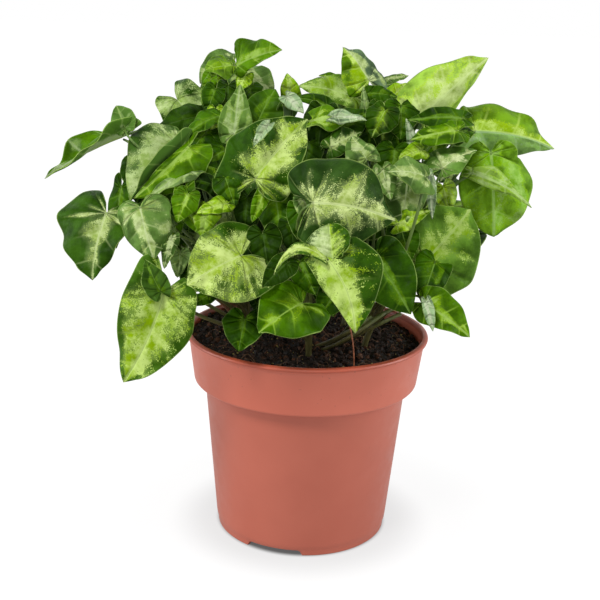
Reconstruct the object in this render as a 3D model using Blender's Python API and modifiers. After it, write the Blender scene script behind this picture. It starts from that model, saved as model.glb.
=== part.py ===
"""A young variegated arrowhead plant (Syngonium podophyllum) in a plain 12 cm nursery pot.

The pot stands on z = 0 with its axis on the Z axis, and the front of the plant looks along -Y.
Lengths in the constants and in the leaf list are millimetres and angles are degrees; MM turns them
into Blender's metres where the meshes are made.
"""

from dataclasses import dataclass
from math import cos, hypot, pi, radians, sin

import bmesh
import bpy
import numpy as np
from mathutils import Matrix, Vector
from mathutils.bvhtree import BVHTree

MM = 0.001
GAP = 0.3  # clearance between two pieces that touch

# Pot: lip, collar, tapered body and foot skirt
RIM_RADIUS = 60.0
POT_HEIGHT = 102.4
LIP_HEIGHT = 2.2
COLLAR_TOP_RADIUS = 58.3
COLLAR_FOOT_RADIUS = 55.6
COLLAR_FOOT_Z = 77.2
STEP_ROUND = 1.6  # rounding under the collar
BODY_TOP_RADIUS = 50.0
BODY_FOOT_RADIUS = 43.6
FOOT_RADIUS = 42.6
FOOT_ROUND_Z = 6.0
WALL = 1.3
SKIRT_WALL = 2.4
FLOOR_Z = 3.0
FLOOR_THICKNESS = 1.6
POT_SIDES = 40
FOOT_GAP_AZIMUTH = -108.0
FOOT_GAPS = 3
FOOT_GAP_ANGLE = 36.5
DRAIN_RADIUS = 3.0
DRAIN_RING = 27.0
DRAIN_HOLES = 6

# Soil plug, its top a little below the rim and slightly domed
SOIL_MID_Z = 98.8
SOIL_EDGE_Z = 97.8
SOIL_SIDES = 32

# Blades
BLADE_THICKNESS = 0.5
BLADE_ROWS = 8  # from the sinus to the tip, one for each stretch of the outline
BLADE_COLUMNS = 4  # across both halves
VEIN_RISE = 0.55  # how far a side vein climbs towards the tip for each unit that it runs outwards
CUP = 0.42
# Half of the arrowhead outline in blade lengths: across, and along from the petiole to the tip
OUTLINE = (
    (0.0, 0.0),
    (0.07, -0.13),
    (0.19, -0.24),
    (0.34, -0.17),
    (0.435, 0.07),
    (0.42, 0.34),
    (0.305, 0.62),
    (0.14, 0.85),
    (0.0, 1.0),
)
OUTLINE_WIDTH = 0.87

# Stems and petioles
STEM_RADIUS = 2.6
STEM_TOP_RADIUS = 2.0
STEM_ROOT_Z = 72.0
STEM_BEND_Z = 95.6  # upright below this, leaning above it
STEM_TOP_Z = 118.0
PETIOLE_FOOT_RADIUS = 1.2
PETIOLE_TIP_RADIUS = 0.7
PETIOLE_POINTS = 9
PETIOLE_SEAT = 1.12  # from the blade's middle surface down to the centre of the petiole's end
CLEAR_OF_BLADE = 1.9  # petiole axis to any blade
CLEAR_OF_OWN_BLADE = 1.4  # the same near its own blade, where the petiole is thin
OWN_BLADE_REACH = 15.0  # from the petiole's end
SEAT_REACH = 3.0  # from the petiole's end, where it meets its own blade
CLEAR_OF_PETIOLE = 3.0  # petiole axis to the axis of a petiole on another stem

GREEN = (0.045, 0.13, 0.018)
STEM_COLOUR = (0.16, 0.14, 0.05)
POT_COLOUR = (0.42, 0.115, 0.075)
SOIL_COLOUR = (0.014, 0.008, 0.005)


@dataclass
class Stem:
    name: str
    foot: tuple  # where it stands in the soil, x and y
    lean: tuple  # how far its top leans out, x and y


@dataclass
class Leaf:
    stem: str
    at: tuple  # where the petiole meets the blade
    tip: tuple
    faces: tuple  # azimuth and elevation of the upper side's normal
    width: object = 0.95  # full width in blade lengths; a pair gives the left and right halves their own
    fold: object = 5  # rise of each half about the midrib; a pair gives left and right
    lobes: object = 1.0  # reach of the basal lobes; a pair gives left and right
    bend: float = 0.08  # rise of the midrib's middle in blade lengths
    twist: float = 0.0
    lean: float = 0.0  # sideways bow of the midrib in blade lengths


STEMS = (
    Stem("stem_left", (-27, -14), (-8, -3)),
    Stem("stem_front", (1, -27), (0, -6)),
    Stem("stem_right", (27, -11), (7, -3)),
    Stem("stem_back_left", (-17, 18), (-5, 5)),
    Stem("stem_back_right", (18, 20), (5, 5)),
)

LEAVES = (
    # left side
    Leaf("left", (-90, -5, 195), (-124, -18, 177), (100, 35), 0.66, (0, 75), 1.1, 0.06, 75),
    Leaf("left", (-61, -12, 192), (-83, -27, 169), (-98, 20), (0.75, 1.25), (100, 0), (1.0, 0.8), 0.05),
    Leaf("left", (-94, -26, 163), (-99, -37, 134), (-105, 20), (0.85, 1.5), 8, (1.1, 1.5), 0.1),
    Leaf("left", (-75, -49, 171), (-68, -56, 149), (-95, 20), 1.1, -25, 0.9, 0.1),
    Leaf("left", (-63, -62, 136), (-81, -64, 95), (-95, 12), 0.78, 10, (0.9, 1.2), 0.06, 0, -0.05),
    Leaf("left", (-55, -30, 184), (-74, -35, 172), (-110, 60), 0.45, 10, 1.0, 0.06),
    Leaf("left", (-45, -17, 184), (-58, -25, 184), (-110, 55), 1.0, 5, 1.0, 0.08),
    Leaf("left", (-55, -41, 176), (-59, -46, 164), (-100, 20), 0.9, 5, 1.0, 0.05),
    Leaf("left", (-46, -42, 170), (-48, -48, 158), (-100, 20), 0.9, 5, 1.0, 0.05),
    Leaf("left", (-58, -44, 150), (-59, -46, 139), (-100, 20), 0.8, 5, 1.0, 0.05),
    # front
    Leaf("front", (-30, -62, 154), (-52, -72, 143), (-93, 26), (1.5, 1.35), 6, (2.2, 2.0), 0.1),
    Leaf("front", (-25, -42, 184), (-3, -36, 210), (-105, 30), (1.3, 1.0), (10, 14), (2.2, 0.4), 0.08),
    Leaf("front", (0, -66, 179), (36, -58, 171), (-88, 36), (1.25, 0.9), (8, -25), (1.2, 0.3), 0.1),
    Leaf("front", (4, -84, 162), (19, -94, 131), (-92, 16), (1.1, 0.8), (0, -45), (1.1, 0.9), 0.06, 0, -0.04),
    Leaf("front", (-3, -60, 133), (-21, -76, 124), (-95, 36), (1.15, 1.3), 8, (1.6, 1.6), 0.08),
    Leaf("front", (-28, -58, 124), (-30, -66, 112), (-95, 25), 1.3, 8, (1.9, 1.5), 0.06),
    # right side
    Leaf("right", (29, -50, 152), (45, -58, 129), (-85, 20), 0.95, 8),
    Leaf("right", (53, -32, 147), (73, -24, 170), (-75, 25), (1.35, 1.5), 8, (1.4, 1.1), 0.08),
    Leaf("right", (51, -50, 132), (72, -57, 119), (-75, 25), (0.85, 0.55), (5, -15), (0.8, 0.7), 0.1),
    Leaf("right", (85, 4, 192), (89, 0, 152), (-85, 10), (0.95, 0.6), -6, 0.6, 0.06),
    Leaf("right", (75, -8, 184), (104, -10, 169), (-75, 50), (0.5, 0.4), (10, -50), 0.5, 0.1),
    Leaf("right", (59, -22, 188), (75, -16, 196), (-90, 60), (1.3, 0.7), 5, (2.0, 0.6), 0.08),
    Leaf("right", (50, -34, 186), (33, -42, 189), (-92, 45), 1.05, (5, 8), 1.1, 0.1),
    Leaf("right", (24, -28, 192), (17, -18, 201), (-90, 40), (1.1, 0.9), 5, 1.0, 0.05),
    Leaf("right", (43, -28, 183), (41, -33, 163), (-90, 8), 0.95, 5, 1.0, 0.05),
    Leaf("right", (62, -6, 177), (66, -8, 165), (-90, 10), 0.9, 5, 1.0, 0.05),
    # top
    Leaf("back_right", (51, 4, 208), (82, 14, 236), (-85, 30), (0.78, 0.7), (0, -65), (0.6, 0.2), 0.05),
    Leaf("back_right", (79, 20, 200), (122, 34, 191), (-80, 45), (0.85, 0.35), (5, -70), 0.7, 0.08),
    Leaf("back_right", (61, -6, 203), (76, -3, 202), (-80, 60), 1.2, 5, 1.5, 0.06),
    Leaf("back_right", (26, 20, 223), (13, 26, 238), (-80, 50), (1.3, 1.8), (-25, 0), (0.6, 1.5), 0.08),
    Leaf("back_right", (33, -2, 211), (27, -8, 199), (-90, 40), 1.1, 5, 1.3),
    Leaf("back_right", (19, 32, 214), (-8, 24, 219), (-95, 40), 0.6, 5, 0.9, 0.06),
    Leaf("back_right", (-1, -8, 206), (24, -4, 207), (-90, 60), 0.55, 5, 1.0, 0.06),
    Leaf("back_left", (-38, 16, 228), (-16, 6, 237), (-95, 35), (0.95, 0.4), (5, -20), (0.2, 0.3), 0.08),
    Leaf("back_left", (-42, 44, 226), (-55, 36, 224), (-100, 45), 1.3, 5, 1.2, 0.05),
    Leaf("back_left", (-35, 36, 223), (-20, 28, 214), (-80, 40), 1.1, 5, 1.2, 0.05),
    Leaf("back_left", (-67, 24, 210), (-51, 14, 193), (-100, 35), (1.1, 0.95), (8, 5), (1.8, 1.5), 0.08),
    Leaf("back_left", (-53, 12, 204), (-75, 3, 198), (-100, 40), (0.55, 0.75), 5, 1.0, 0.08),
    Leaf("back_left", (-44, 0, 206), (-60, -6, 197), (-105, 45), (0.45, 0.85), -5, 0.3, 0.1),
    Leaf("back_left", (-37, -10, 199), (-35, 1, 221), (-95, 30), 0.6, 5, 0.8, 0.03),
    Leaf("back_left", (-27, 6, 202), (-19, 14, 218), (-90, 40), (1.3, 1.2), 5, 1.2, 0.08),
    # back
    Leaf("back_right", (60, 48, 203), (86, 76, 178), (50, 50), lobes=1.2, bend=0.1),
    Leaf("back_right", (18, 55, 216), (28, 94, 196), (85, 50), lobes=1.2, bend=0.1),
    Leaf("back_left", (-26, 50, 208), (-40, 88, 184), (105, 45), lobes=1.2, bend=0.1),
    Leaf("back_left", (-66, 38, 194), (-94, 62, 168), (145, 45), lobes=1.2, bend=0.1),
    Leaf("back_right", (72, 30, 160), (97, 58, 146), (40, 40), lobes=1.2, bend=0.1),
    Leaf("back_right", (42, 56, 160), (56, 92, 132), (65, 30), lobes=1.2, bend=0.1),
    Leaf("back_right", (-3, 60, 164), (-9, 93, 130), (95, 25), lobes=1.2, bend=0.1),
    Leaf("back_left", (-46, 50, 158), (-72, 80, 132), (125, 30), lobes=1.2, bend=0.1),
    Leaf("back_left", (-78, 24, 158), (-106, 40, 136), (155, 35), lobes=1.2, bend=0.1),
    Leaf("back_right", (28, 56, 124), (38, 84, 100), (75, 30), 1.1, lobes=1.2, bend=0.1),
    Leaf("back_left", (-32, 54, 128), (-48, 80, 102), (115, 30), 1.1, lobes=1.2, bend=0.1),
)


def clear_scene():
    for obj in list(bpy.data.objects):
        bpy.data.objects.remove(obj, do_unlink=True)


def new_collection(name):
    collection = bpy.data.collections.new(name)
    bpy.context.scene.collection.children.link(collection)
    return collection


def new_material(name, colour, roughness):
    material = bpy.data.materials.new(name)
    material.use_nodes = True
    shader = material.node_tree.nodes["Principled BSDF"]
    shader.inputs["Base Color"].default_value = (*colour, 1)
    shader.inputs["Roughness"].default_value = roughness
    shader.inputs["Metallic"].default_value = 0.0
    material.diffuse_color = (*colour, 1)
    return material


def object_of(name, bm, collection, material=None):
    """A new object that holds the bmesh, which is freed."""
    mesh = bpy.data.meshes.new(name)
    bm.to_mesh(mesh)
    bm.free()
    if material:
        mesh.materials.append(material)
    obj = bpy.data.objects.new(name, mesh)
    collection.objects.link(obj)
    return obj


def smooth(obj, angle=40):
    obj.data.shade_smooth()
    obj.data.set_sharp_from_angle(angle=radians(angle))


def as_cutter(obj):
    obj.hide_render = True
    obj.display_type = "WIRE"
    return obj


def add_boolean(obj, other, operation, solver="EXACT"):
    modifier = obj.modifiers.new(operation.title() + " " + other.name, "BOOLEAN")
    modifier.operation = operation
    modifier.solver = solver
    modifier.object = other


def turned(name, profile, sides, collection, material):
    """A profile of (radius, z) points, turned about the Z axis by a Screw modifier."""
    bm = bmesh.new()
    points = [bm.verts.new((radius * MM, 0, z * MM)) for radius, z in profile]
    for first, second in zip(points, points[1:]):
        bm.edges.new((first, second))
    obj = object_of(name, bm, collection, material)
    screw = obj.modifiers.new("Turn", "SCREW")
    screw.steps = sides
    screw.render_steps = sides
    screw.use_merge_vertices = True
    screw.merge_threshold = 0.00005
    screw.use_smooth_shade = True
    return obj


def cylinder(name, radius, low, high, place, collection, sides=12):
    bm = bmesh.new()
    middle = Matrix.Translation((place[0] * MM, place[1] * MM, (low + high) / 2 * MM))
    bmesh.ops.create_cone(
        bm, cap_ends=True, segments=sides, radius1=radius * MM, radius2=radius * MM,
        depth=(high - low) * MM, matrix=middle,
    )
    return object_of(name, bm, collection)


# The pot


def pot_inner_profile():
    """The hollow's wall, from the middle of the floor up to the rim, as the soil meets it."""
    floor_top = FLOOR_Z + FLOOR_THICKNESS
    ledge = COLLAR_FOOT_Z + WALL
    return [
        (0, floor_top),
        (BODY_FOOT_RADIUS - WALL - 1, floor_top),
        (BODY_FOOT_RADIUS - WALL, floor_top + 1),
        (BODY_TOP_RADIUS - WALL, ledge - 1),
        (BODY_TOP_RADIUS - WALL + 1, ledge),
        (COLLAR_FOOT_RADIUS - WALL - 1, ledge),
        (COLLAR_FOOT_RADIUS - WALL, ledge + 1),
        (COLLAR_TOP_RADIUS - WALL, POT_HEIGHT - LIP_HEIGHT),
        (COLLAR_TOP_RADIUS - WALL + 0.3, POT_HEIGHT - 0.4),
    ]


def pot_outer_profile():
    """From the top of the lip down the outside and in under the floor."""
    collar_under = COLLAR_FOOT_Z + 0.2
    return [
        (RIM_RADIUS - 1.6, POT_HEIGHT),
        (RIM_RADIUS - 0.4, POT_HEIGHT - 0.3),
        (RIM_RADIUS, POT_HEIGHT - LIP_HEIGHT / 2),
        (RIM_RADIUS - 0.4, POT_HEIGHT - LIP_HEIGHT + 0.2),
        (COLLAR_TOP_RADIUS, POT_HEIGHT - LIP_HEIGHT),
        (COLLAR_FOOT_RADIUS, COLLAR_FOOT_Z + STEP_ROUND),
        (COLLAR_FOOT_RADIUS - 0.6, collar_under + 0.3),
        (COLLAR_FOOT_RADIUS - STEP_ROUND, COLLAR_FOOT_Z),
        (BODY_TOP_RADIUS + 1, COLLAR_FOOT_Z - 0.5),
        (BODY_TOP_RADIUS, COLLAR_FOOT_Z - STEP_ROUND),
        (BODY_FOOT_RADIUS, FOOT_ROUND_Z),
        (FOOT_RADIUS + 0.4, FLOOR_Z),
        (FOOT_RADIUS, 0),
        (FOOT_RADIUS - SKIRT_WALL, 0),
        (FOOT_RADIUS - SKIRT_WALL, FLOOR_Z),
        (0, FLOOR_Z),
    ]


def foot_gap_cutter(index, collection):
    """A wedge that opens the foot skirt over one gap's angle."""
    half = FOOT_GAP_ANGLE / 2
    middle = FOOT_GAP_AZIMUTH + index * 360 / FOOT_GAPS
    inner = FOOT_RADIUS - 2.5 * SKIRT_WALL
    outer = FOOT_RADIUS + SKIRT_WALL
    steps = 4
    angles = [radians(middle - half + FOOT_GAP_ANGLE * i / steps) for i in range(steps + 1)]
    bm = bmesh.new()
    ring = [(outer * cos(a), outer * sin(a)) for a in angles]
    ring += [(inner * cos(a), inner * sin(a)) for a in reversed(angles)]
    low = [bm.verts.new((x * MM, y * MM, -2 * MM)) for x, y in ring]
    face = bm.faces.new(low)
    raised = bmesh.ops.extrude_face_region(bm, geom=[face])["geom"]
    lift = Vector((0, 0, (FLOOR_Z - 0.1 + 2) * MM))
    bmesh.ops.translate(bm, vec=lift, verts=[v for v in raised if isinstance(v, bmesh.types.BMVert)])
    bmesh.ops.recalc_face_normals(bm, faces=bm.faces)
    return as_cutter(object_of(f"foot_gap_{index + 1}", bm, collection))


def make_pot(parts, cutters):
    material = new_material("pot plastic", POT_COLOUR, 0.38)
    pot = turned("pot", pot_inner_profile() + pot_outer_profile(), POT_SIDES, parts, material)
    for index in range(FOOT_GAPS):
        add_boolean(pot, foot_gap_cutter(index, cutters), "DIFFERENCE")
    for index in range(DRAIN_HOLES):
        angle = 2 * pi * index / DRAIN_HOLES
        place = (DRAIN_RING * cos(angle), DRAIN_RING * sin(angle))
        hole = cylinder(f"drain_{index + 1}", DRAIN_RADIUS, 1, 7, place, cutters)
        add_boolean(pot, as_cutter(hole), "DIFFERENCE")
    return pot


# The soil


def make_soil(parts, cutters):
    """The plug follows the pot's wall at a small gap and has a hole for each stem's foot."""
    wall = [(radius - GAP, z) for radius, z in pot_inner_profile()[1:-2]]
    slope = (COLLAR_TOP_RADIUS - COLLAR_FOOT_RADIUS) / (POT_HEIGHT - LIP_HEIGHT - COLLAR_FOOT_Z)
    edge = COLLAR_TOP_RADIUS - WALL - GAP - slope * (POT_HEIGHT - LIP_HEIGHT - SOIL_EDGE_Z) - 0.2
    top = [(0, SOIL_MID_Z), (edge / 2, SOIL_MID_Z - 0.2), (edge - 3, SOIL_EDGE_Z + 0.3), (edge, SOIL_EDGE_Z)]
    # on the floor and on the ledge the gap is upwards as well
    sides = [(radius, z + GAP) for radius, z in reversed(wall)]
    material = new_material("potting soil", SOIL_COLOUR, 0.95)
    profile = top + sides + [(0, FLOOR_Z + FLOOR_THICKNESS + GAP)]
    soil = turned("soil", profile, SOIL_SIDES, parts, material)
    for stem in STEMS:
        axis = [stem_axis(stem, z) for z in (STEM_ROOT_Z - GAP, STEM_BEND_Z, SOIL_MID_Z + 5)]
        hole = tube("hole_" + stem.name, axis, [STEM_RADIUS + GAP + 0.2] * 3, cutters)
        add_boolean(soil, as_cutter(hole), "DIFFERENCE")
    return soil


# The blades


def halves(value):
    """A value for the left half and one for the right."""
    return value if isinstance(value, tuple) else (value, value)


def outline_at(along):
    """The outline's points at each share of the way from sinus to tip, on a Catmull-Rom curve."""
    points = np.array(OUTLINE)
    ends = [2 * points[0] - points[1]], [2 * points[-1] - points[-2]]
    points = np.concatenate([ends[0], points, ends[1]])
    steps = along * (len(OUTLINE) - 1)
    start = np.minimum(steps.astype(int), len(OUTLINE) - 2)
    t = (steps - start)[:, None]
    p0, p1, p2, p3 = (points[start + i] for i in range(4))
    square = 2 * p0 - 5 * p1 + 4 * p2 - p3
    cube = 3 * p1 - p0 - 3 * p2 + p3
    return 0.5 * (2 * p1 + (p2 - p0) * t + square * t**2 + cube * t**3)


def leaf_axes(leaf):
    """The blade's length and its unit vectors along the midrib, to the right, and up from the upper side."""
    along = Vector(leaf.tip) - Vector(leaf.at)
    length = along.length
    along.normalize()
    azimuth, elevation = map(radians, leaf.faces)
    up = Vector((cos(azimuth) * cos(elevation), sin(azimuth) * cos(elevation), sin(elevation)))
    up = (up - up.dot(along) * along).normalized()
    return length, along, along.cross(up), up


def blade_points(leaf, rows, columns):
    """The blade's middle surface as a (rows + 1) x (columns + 1) grid of points in millimetres.

    A row runs from the outline's left side through the midrib to its right side. Rows near the
    sinus all meet the midrib at the petiole, so they fan out into the lobes.
    """
    share = np.linspace(0, 1, rows + 1)
    across = np.linspace(-1, 1, columns + 1)[None, :]
    out, forward = outline_at(share).T
    left, right = (
        (out * width / OUTLINE_WIDTH, np.where(forward < 0, forward * lobe, forward))
        for width, lobe in zip(halves(leaf.width), halves(leaf.lobes))
    )
    reach = np.where(across < 0, left[0][:, None], right[0][:, None])
    climb = np.where(across < 0, left[1][:, None], right[1][:, None])
    midrib = np.maximum((left[1] + right[1] - VEIN_RISE * (left[0] + right[0])) / 2, 0)[:, None]
    x = reach * across
    y = midrib * (1 - abs(across)) + climb * abs(across)

    fold = np.radians(np.where(across < 0, *halves(leaf.fold)))
    z = abs(x) * np.sin(fold) - CUP * x**2
    x = x * np.cos(fold)

    turn = radians(leaf.twist) * np.clip(y, -0.3, 1)
    x, z = x * np.cos(turn) - z * np.sin(turn), x * np.sin(turn) + z * np.cos(turn)
    bow = 4 * y * (1 - y)
    length, along, side, up = leaf_axes(leaf)
    parts = zip((y, x + leaf.lean * bow, z + leaf.bend * bow), (along, side, up))
    return np.array(leaf.at) + length * sum(part[..., None] * np.array(axis) for part, axis in parts)


def make_blade(name, leaf, collection, material):
    points = blade_points(leaf, BLADE_ROWS, BLADE_COLUMNS).reshape(-1, 3) * MM
    bm = bmesh.new()
    made = bmesh.ops.create_grid(bm, x_segments=BLADE_COLUMNS, y_segments=BLADE_ROWS, size=1)
    for vertex, point in zip(made["verts"], points):
        vertex.co = point
    bmesh.ops.remove_doubles(bm, verts=bm.verts, dist=0.00001)
    blade = object_of(name, bm, collection, material)
    solid = blade.modifiers.new("Thickness", "SOLIDIFY")
    solid.thickness = BLADE_THICKNESS * MM
    solid.offset = 0
    smooth(blade, 60)
    return blade


# Stems and petioles


def petiole_end(leaf):
    """Where the petiole ends, just under the blade's sinus, and the direction in which it arrives.

    Halves that droop come down on either side of it, so it stops a little lower there.
    """
    _, along, _, up = leaf_axes(leaf)
    droop = radians(max(0, *(-fold for fold in halves(leaf.fold))))
    end = Vector(leaf.at) - PETIOLE_SEAT / cos(droop) * up
    return end, (0.75 * up + 0.5 * along).normalized()


def bezier(corners, count):
    """Points along the cubic curve with these four corners."""
    p0, p1, p2, p3 = corners
    for i in range(count):
        t = i / (count - 1)
        s = 1 - t
        yield s**3 * p0 + 3 * s * s * t * p1 + 3 * s * t * t * p2 + t**3 * p3


def petiole_routes(leaf, foot, rise):
    """Curves from the foot to the blade, the least bowed first."""
    end, arrival = petiole_end(leaf)
    span = (end - foot).length
    out = (end - foot).normalized()
    side = out.cross(Vector((0, 0, 1))).normalized()
    over = side.cross(out)
    for bow in (0.0, 0.08, 0.16, 0.25, 0.35, 0.46, 0.6):
        for turn in range(8 if bow else 1):
            shift = (cos(turn * pi / 4) * over + sin(turn * pi / 4) * side) * bow * span
            for last in (0.25, 0.12, 0.4):
                yield foot, foot + rise * 0.35 * span + shift, end - arrival * last * span + shift, end


class Blades:
    """All the blades' middle surfaces, to keep petioles clear of them."""

    def __init__(self, leaves):
        self.trees = []
        for leaf in leaves:
            grid = blade_points(leaf, 2 * BLADE_ROWS, 2 * BLADE_COLUMNS)
            rows, columns, _ = grid.shape
            faces = [
                (r * columns + c, (r + 1) * columns + c, (r + 1) * columns + c + 1, r * columns + c + 1)
                for r in range(rows - 1)
                for c in range(columns - 1)
            ]
            self.trees.append(BVHTree.FromPolygons(grid.reshape(-1, 3).tolist(), faces))

    def lack(self, point, own, from_end):
        """How much the point of a petiole lacks to be clear of every blade; 0 is clear."""
        worst = 0.0
        for index, tree in enumerate(self.trees):
            if index == own and from_end < SEAT_REACH:
                continue
            wanted = CLEAR_OF_OWN_BLADE if index == own and from_end < OWN_BLADE_REACH else CLEAR_OF_BLADE
            found = tree.find_nearest(point, wanted)
            if found[0] is not None:
                worst = max(worst, wanted - found[3])
        return worst


def inside_pot(point):
    return point.z < POT_HEIGHT + 3 and hypot(point.x, point.y) > COLLAR_FOOT_RADIUS - 5


def route_fault(points, index, stem_name, blades, placed):
    """How badly a route comes too near a blade, the pot or another stem's petiole; 0 is clear."""
    fault = 0.0
    for point in points[2:]:
        fault += blades.lack(point, index, (point - points[-1]).length)
        fault += 2 * inside_pot(point)
    for other, others in placed:
        if other != stem_name:
            gaps = np.linalg.norm(np.array(points[1:])[:, None] - np.array(others)[None], axis=2)
            fault += max(0, CLEAR_OF_PETIOLE - gaps.min())
    return fault


def choose_route(leaf, index, stem, foot, blades, placed):
    """The least bowed of the clear routes, or the least bad one."""
    rise = Vector((*stem.lean, STEM_TOP_Z - STEM_BEND_Z)).normalized()
    best = None
    for corners in petiole_routes(leaf, foot, rise):
        points = list(bezier(corners, 3 * PETIOLE_POINTS))
        fault = route_fault(points, index, stem.name, blades, placed)
        if best is None or fault < best[0]:
            best = fault, corners, points
        if fault == 0:
            break
    return best


def tube(name, points, radii, collection):
    """A round tube through the points, as a closed mesh object."""
    curve = bpy.data.curves.new(name, "CURVE")
    curve.dimensions = "3D"
    curve.bevel_depth = MM
    curve.bevel_resolution = 1
    curve.use_fill_caps = True
    spline = curve.splines.new("POLY")
    spline.points.add(len(points) - 1)
    for target, point, radius in zip(spline.points, points, radii):
        target.co = (*(Vector(point) * MM), 1)
        target.radius = radius
    holder = bpy.data.objects.new(name + "_curve", curve)
    collection.objects.link(holder)
    graph = bpy.context.evaluated_depsgraph_get()
    mesh = bpy.data.meshes.new_from_object(holder.evaluated_get(graph))
    bm = bmesh.new()
    bm.from_mesh(mesh)
    bmesh.ops.remove_doubles(bm, verts=bm.verts, dist=0.000001)
    bmesh.ops.recalc_face_normals(bm, faces=bm.faces)
    bpy.data.objects.remove(holder, do_unlink=True)
    bpy.data.meshes.remove(mesh)
    return object_of(name, bm, collection)


def stem_axis(stem, z):
    """The stem's axis at a height: upright in the soil, leaning above it."""
    share = max(0.0, (z - STEM_BEND_Z) / (STEM_TOP_Z - STEM_BEND_Z))
    return Vector((stem.foot[0] + stem.lean[0] * share, stem.foot[1] + stem.lean[1] * share, z))


def make_stem(stem, parts, cutters, material, blades, placed):
    """The short main stem with its petioles, joined into one solid."""
    heights = (STEM_ROOT_Z, STEM_BEND_Z, (STEM_BEND_Z + STEM_TOP_Z) / 2, STEM_TOP_Z)
    radii = (STEM_RADIUS, STEM_RADIUS, STEM_RADIUS * 0.95, STEM_TOP_RADIUS)
    body = tube(stem.name, [stem_axis(stem, z) for z in heights], radii, parts)
    body.data.materials.append(material)
    own = [(i, leaf) for i, leaf in enumerate(LEAVES) if "stem_" + leaf.stem == stem.name]
    own.sort(key=lambda item: item[1].at[2])
    for order, (index, leaf) in enumerate(own):
        height = STEM_BEND_Z + 5 + (STEM_TOP_Z - STEM_BEND_Z - 7) * order / (len(own) - 1)
        foot = stem_axis(stem, height)
        fault, corners, points = choose_route(leaf, index, stem, foot, blades, placed)
        if fault > 0:
            print(f"petiole {index + 1} lacks clearance: {fault:.2f}")
        placed.append((stem.name, points))
        route = list(bezier(corners, PETIOLE_POINTS))
        taper = np.linspace(PETIOLE_FOOT_RADIUS, PETIOLE_TIP_RADIUS, PETIOLE_POINTS)
        petiole = tube(f"petiole_{index + 1:02d}", route, taper, cutters)
        # EXACT loses the whole stem where two petioles nearly coincide; every mesh here is closed
        add_boolean(body, as_cutter(petiole), "UNION", "MANIFOLD")
    body.data.shade_smooth()
    return body


def main():
    clear_scene()
    parts = new_collection("potted_syngonium")
    cutters = new_collection("cutters")
    make_pot(parts, cutters)
    make_soil(parts, cutters)
    green = new_material("leaf", GREEN, 0.4)
    for index, leaf in enumerate(LEAVES):
        make_blade(f"leaf_{index + 1:02d}", leaf, parts, green)
    stalk = new_material("stem", STEM_COLOUR, 0.5)
    blades = Blades(LEAVES)
    placed = []
    for stem in STEMS:
        make_stem(stem, parts, cutters, stalk, blades, placed)


main()
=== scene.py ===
"""A young variegated arrowhead plant in a plain 12 cm nursery pot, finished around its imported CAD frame.

The pot stands on z = 0 with its axis on the Z axis and the front of the plant looks along -Y. Sizes
are written in millimetres and angles in degrees, and MM turns millimetres into metres where the meshes
are made; only the camera and the lights are placed in metres. The file goes from the pot up: pot, soil,
stems, leaves, young leaves, then the floor and the lights.
"""

from dataclasses import dataclass, replace
from math import cos, pi, radians, sin

import bmesh
import bpy
import numpy as np
from mathutils import Matrix, Vector


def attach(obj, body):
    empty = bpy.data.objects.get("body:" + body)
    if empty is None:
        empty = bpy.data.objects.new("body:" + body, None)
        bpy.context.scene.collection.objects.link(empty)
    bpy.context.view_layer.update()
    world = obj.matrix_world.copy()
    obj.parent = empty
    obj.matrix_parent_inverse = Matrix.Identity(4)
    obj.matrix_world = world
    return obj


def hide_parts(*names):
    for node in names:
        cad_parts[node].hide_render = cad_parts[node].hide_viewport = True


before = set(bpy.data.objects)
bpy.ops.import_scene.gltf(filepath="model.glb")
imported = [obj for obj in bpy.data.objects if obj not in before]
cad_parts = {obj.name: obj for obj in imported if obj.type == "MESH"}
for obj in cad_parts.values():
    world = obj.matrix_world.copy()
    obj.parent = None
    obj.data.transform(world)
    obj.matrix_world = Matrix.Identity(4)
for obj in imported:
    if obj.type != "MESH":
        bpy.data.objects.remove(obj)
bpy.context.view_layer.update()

MM = 0.001

# ---------------------------------------------------------------- Camera
# It stands half a metre in front of the plant, a little above the leaves, and looks down on the pot.

CAMERA_PLACE = (-0.0039, -0.520, 0.2683)  # metres
CAMERA_PITCH = 73.78
CAMERA_ROLL = 1.84
CAMERA_LENS = 65.84

camera_data = bpy.data.cameras.new("camera")
camera_data.lens = CAMERA_LENS
camera_data.sensor_width = 36
camera_data.clip_start = 0.01
camera_data.clip_end = 50
camera = bpy.data.objects.new("camera", camera_data)
turn = Matrix.Rotation(radians(CAMERA_PITCH), 4, "X") @ Matrix.Rotation(radians(CAMERA_ROLL), 4, "Z")
camera.matrix_world = Matrix.Translation(CAMERA_PLACE) @ turn
bpy.context.scene.collection.objects.link(camera)
bpy.context.scene.camera = camera

# ---------------------------------------------------------------- Pot
# An injection-moulded nursery pot in terracotta-coloured polypropylene: a thin lip, a tall collar, a
# step, a tapered body, and a short foot skirt with three gaps that let water run out from under it.

RIM_RADIUS = 60.0
POT_HEIGHT = 102.4
LIP_HEIGHT = 2.2
COLLAR_TOP_RADIUS = 58.3
COLLAR_FOOT_RADIUS = 55.6
COLLAR_FOOT_Z = 77.2
STEP_ROUND = 1.6
BODY_TOP_RADIUS = 50.0
BODY_FOOT_RADIUS = 43.6
FOOT_RADIUS = 42.6
FOOT_ROUND_Z = 6.0
WALL = 1.3
SKIRT_WALL = 2.4
FLOOR_Z = 3.0  # the underside of the pot's floor
FLOOR_TOP_Z = 4.6
POT_SIDES = 240
FOOT_GAPS = 3
FOOT_GAP_AZIMUTH = -108.0  # the middle of the gap that is in sight
FOOT_GAP_ANGLE = 36.5
FOOT_GAP_SLOPE = 1.6  # degrees over which a gap's side rises
FOOT_GAP_RISE = 0.97  # how much of the skirt's height a gap takes away
SKIRT_TOP_Z = FLOOR_Z - 0.06
DRAIN_RADIUS = 3.0
DRAIN_RING = 27.0
DRAIN_HOLES = 6
PUNCH_SIDES = 20
PUNCH_Z = (1.0, 7.0)  # a punch's lower and upper end, below and above the floor

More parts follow.
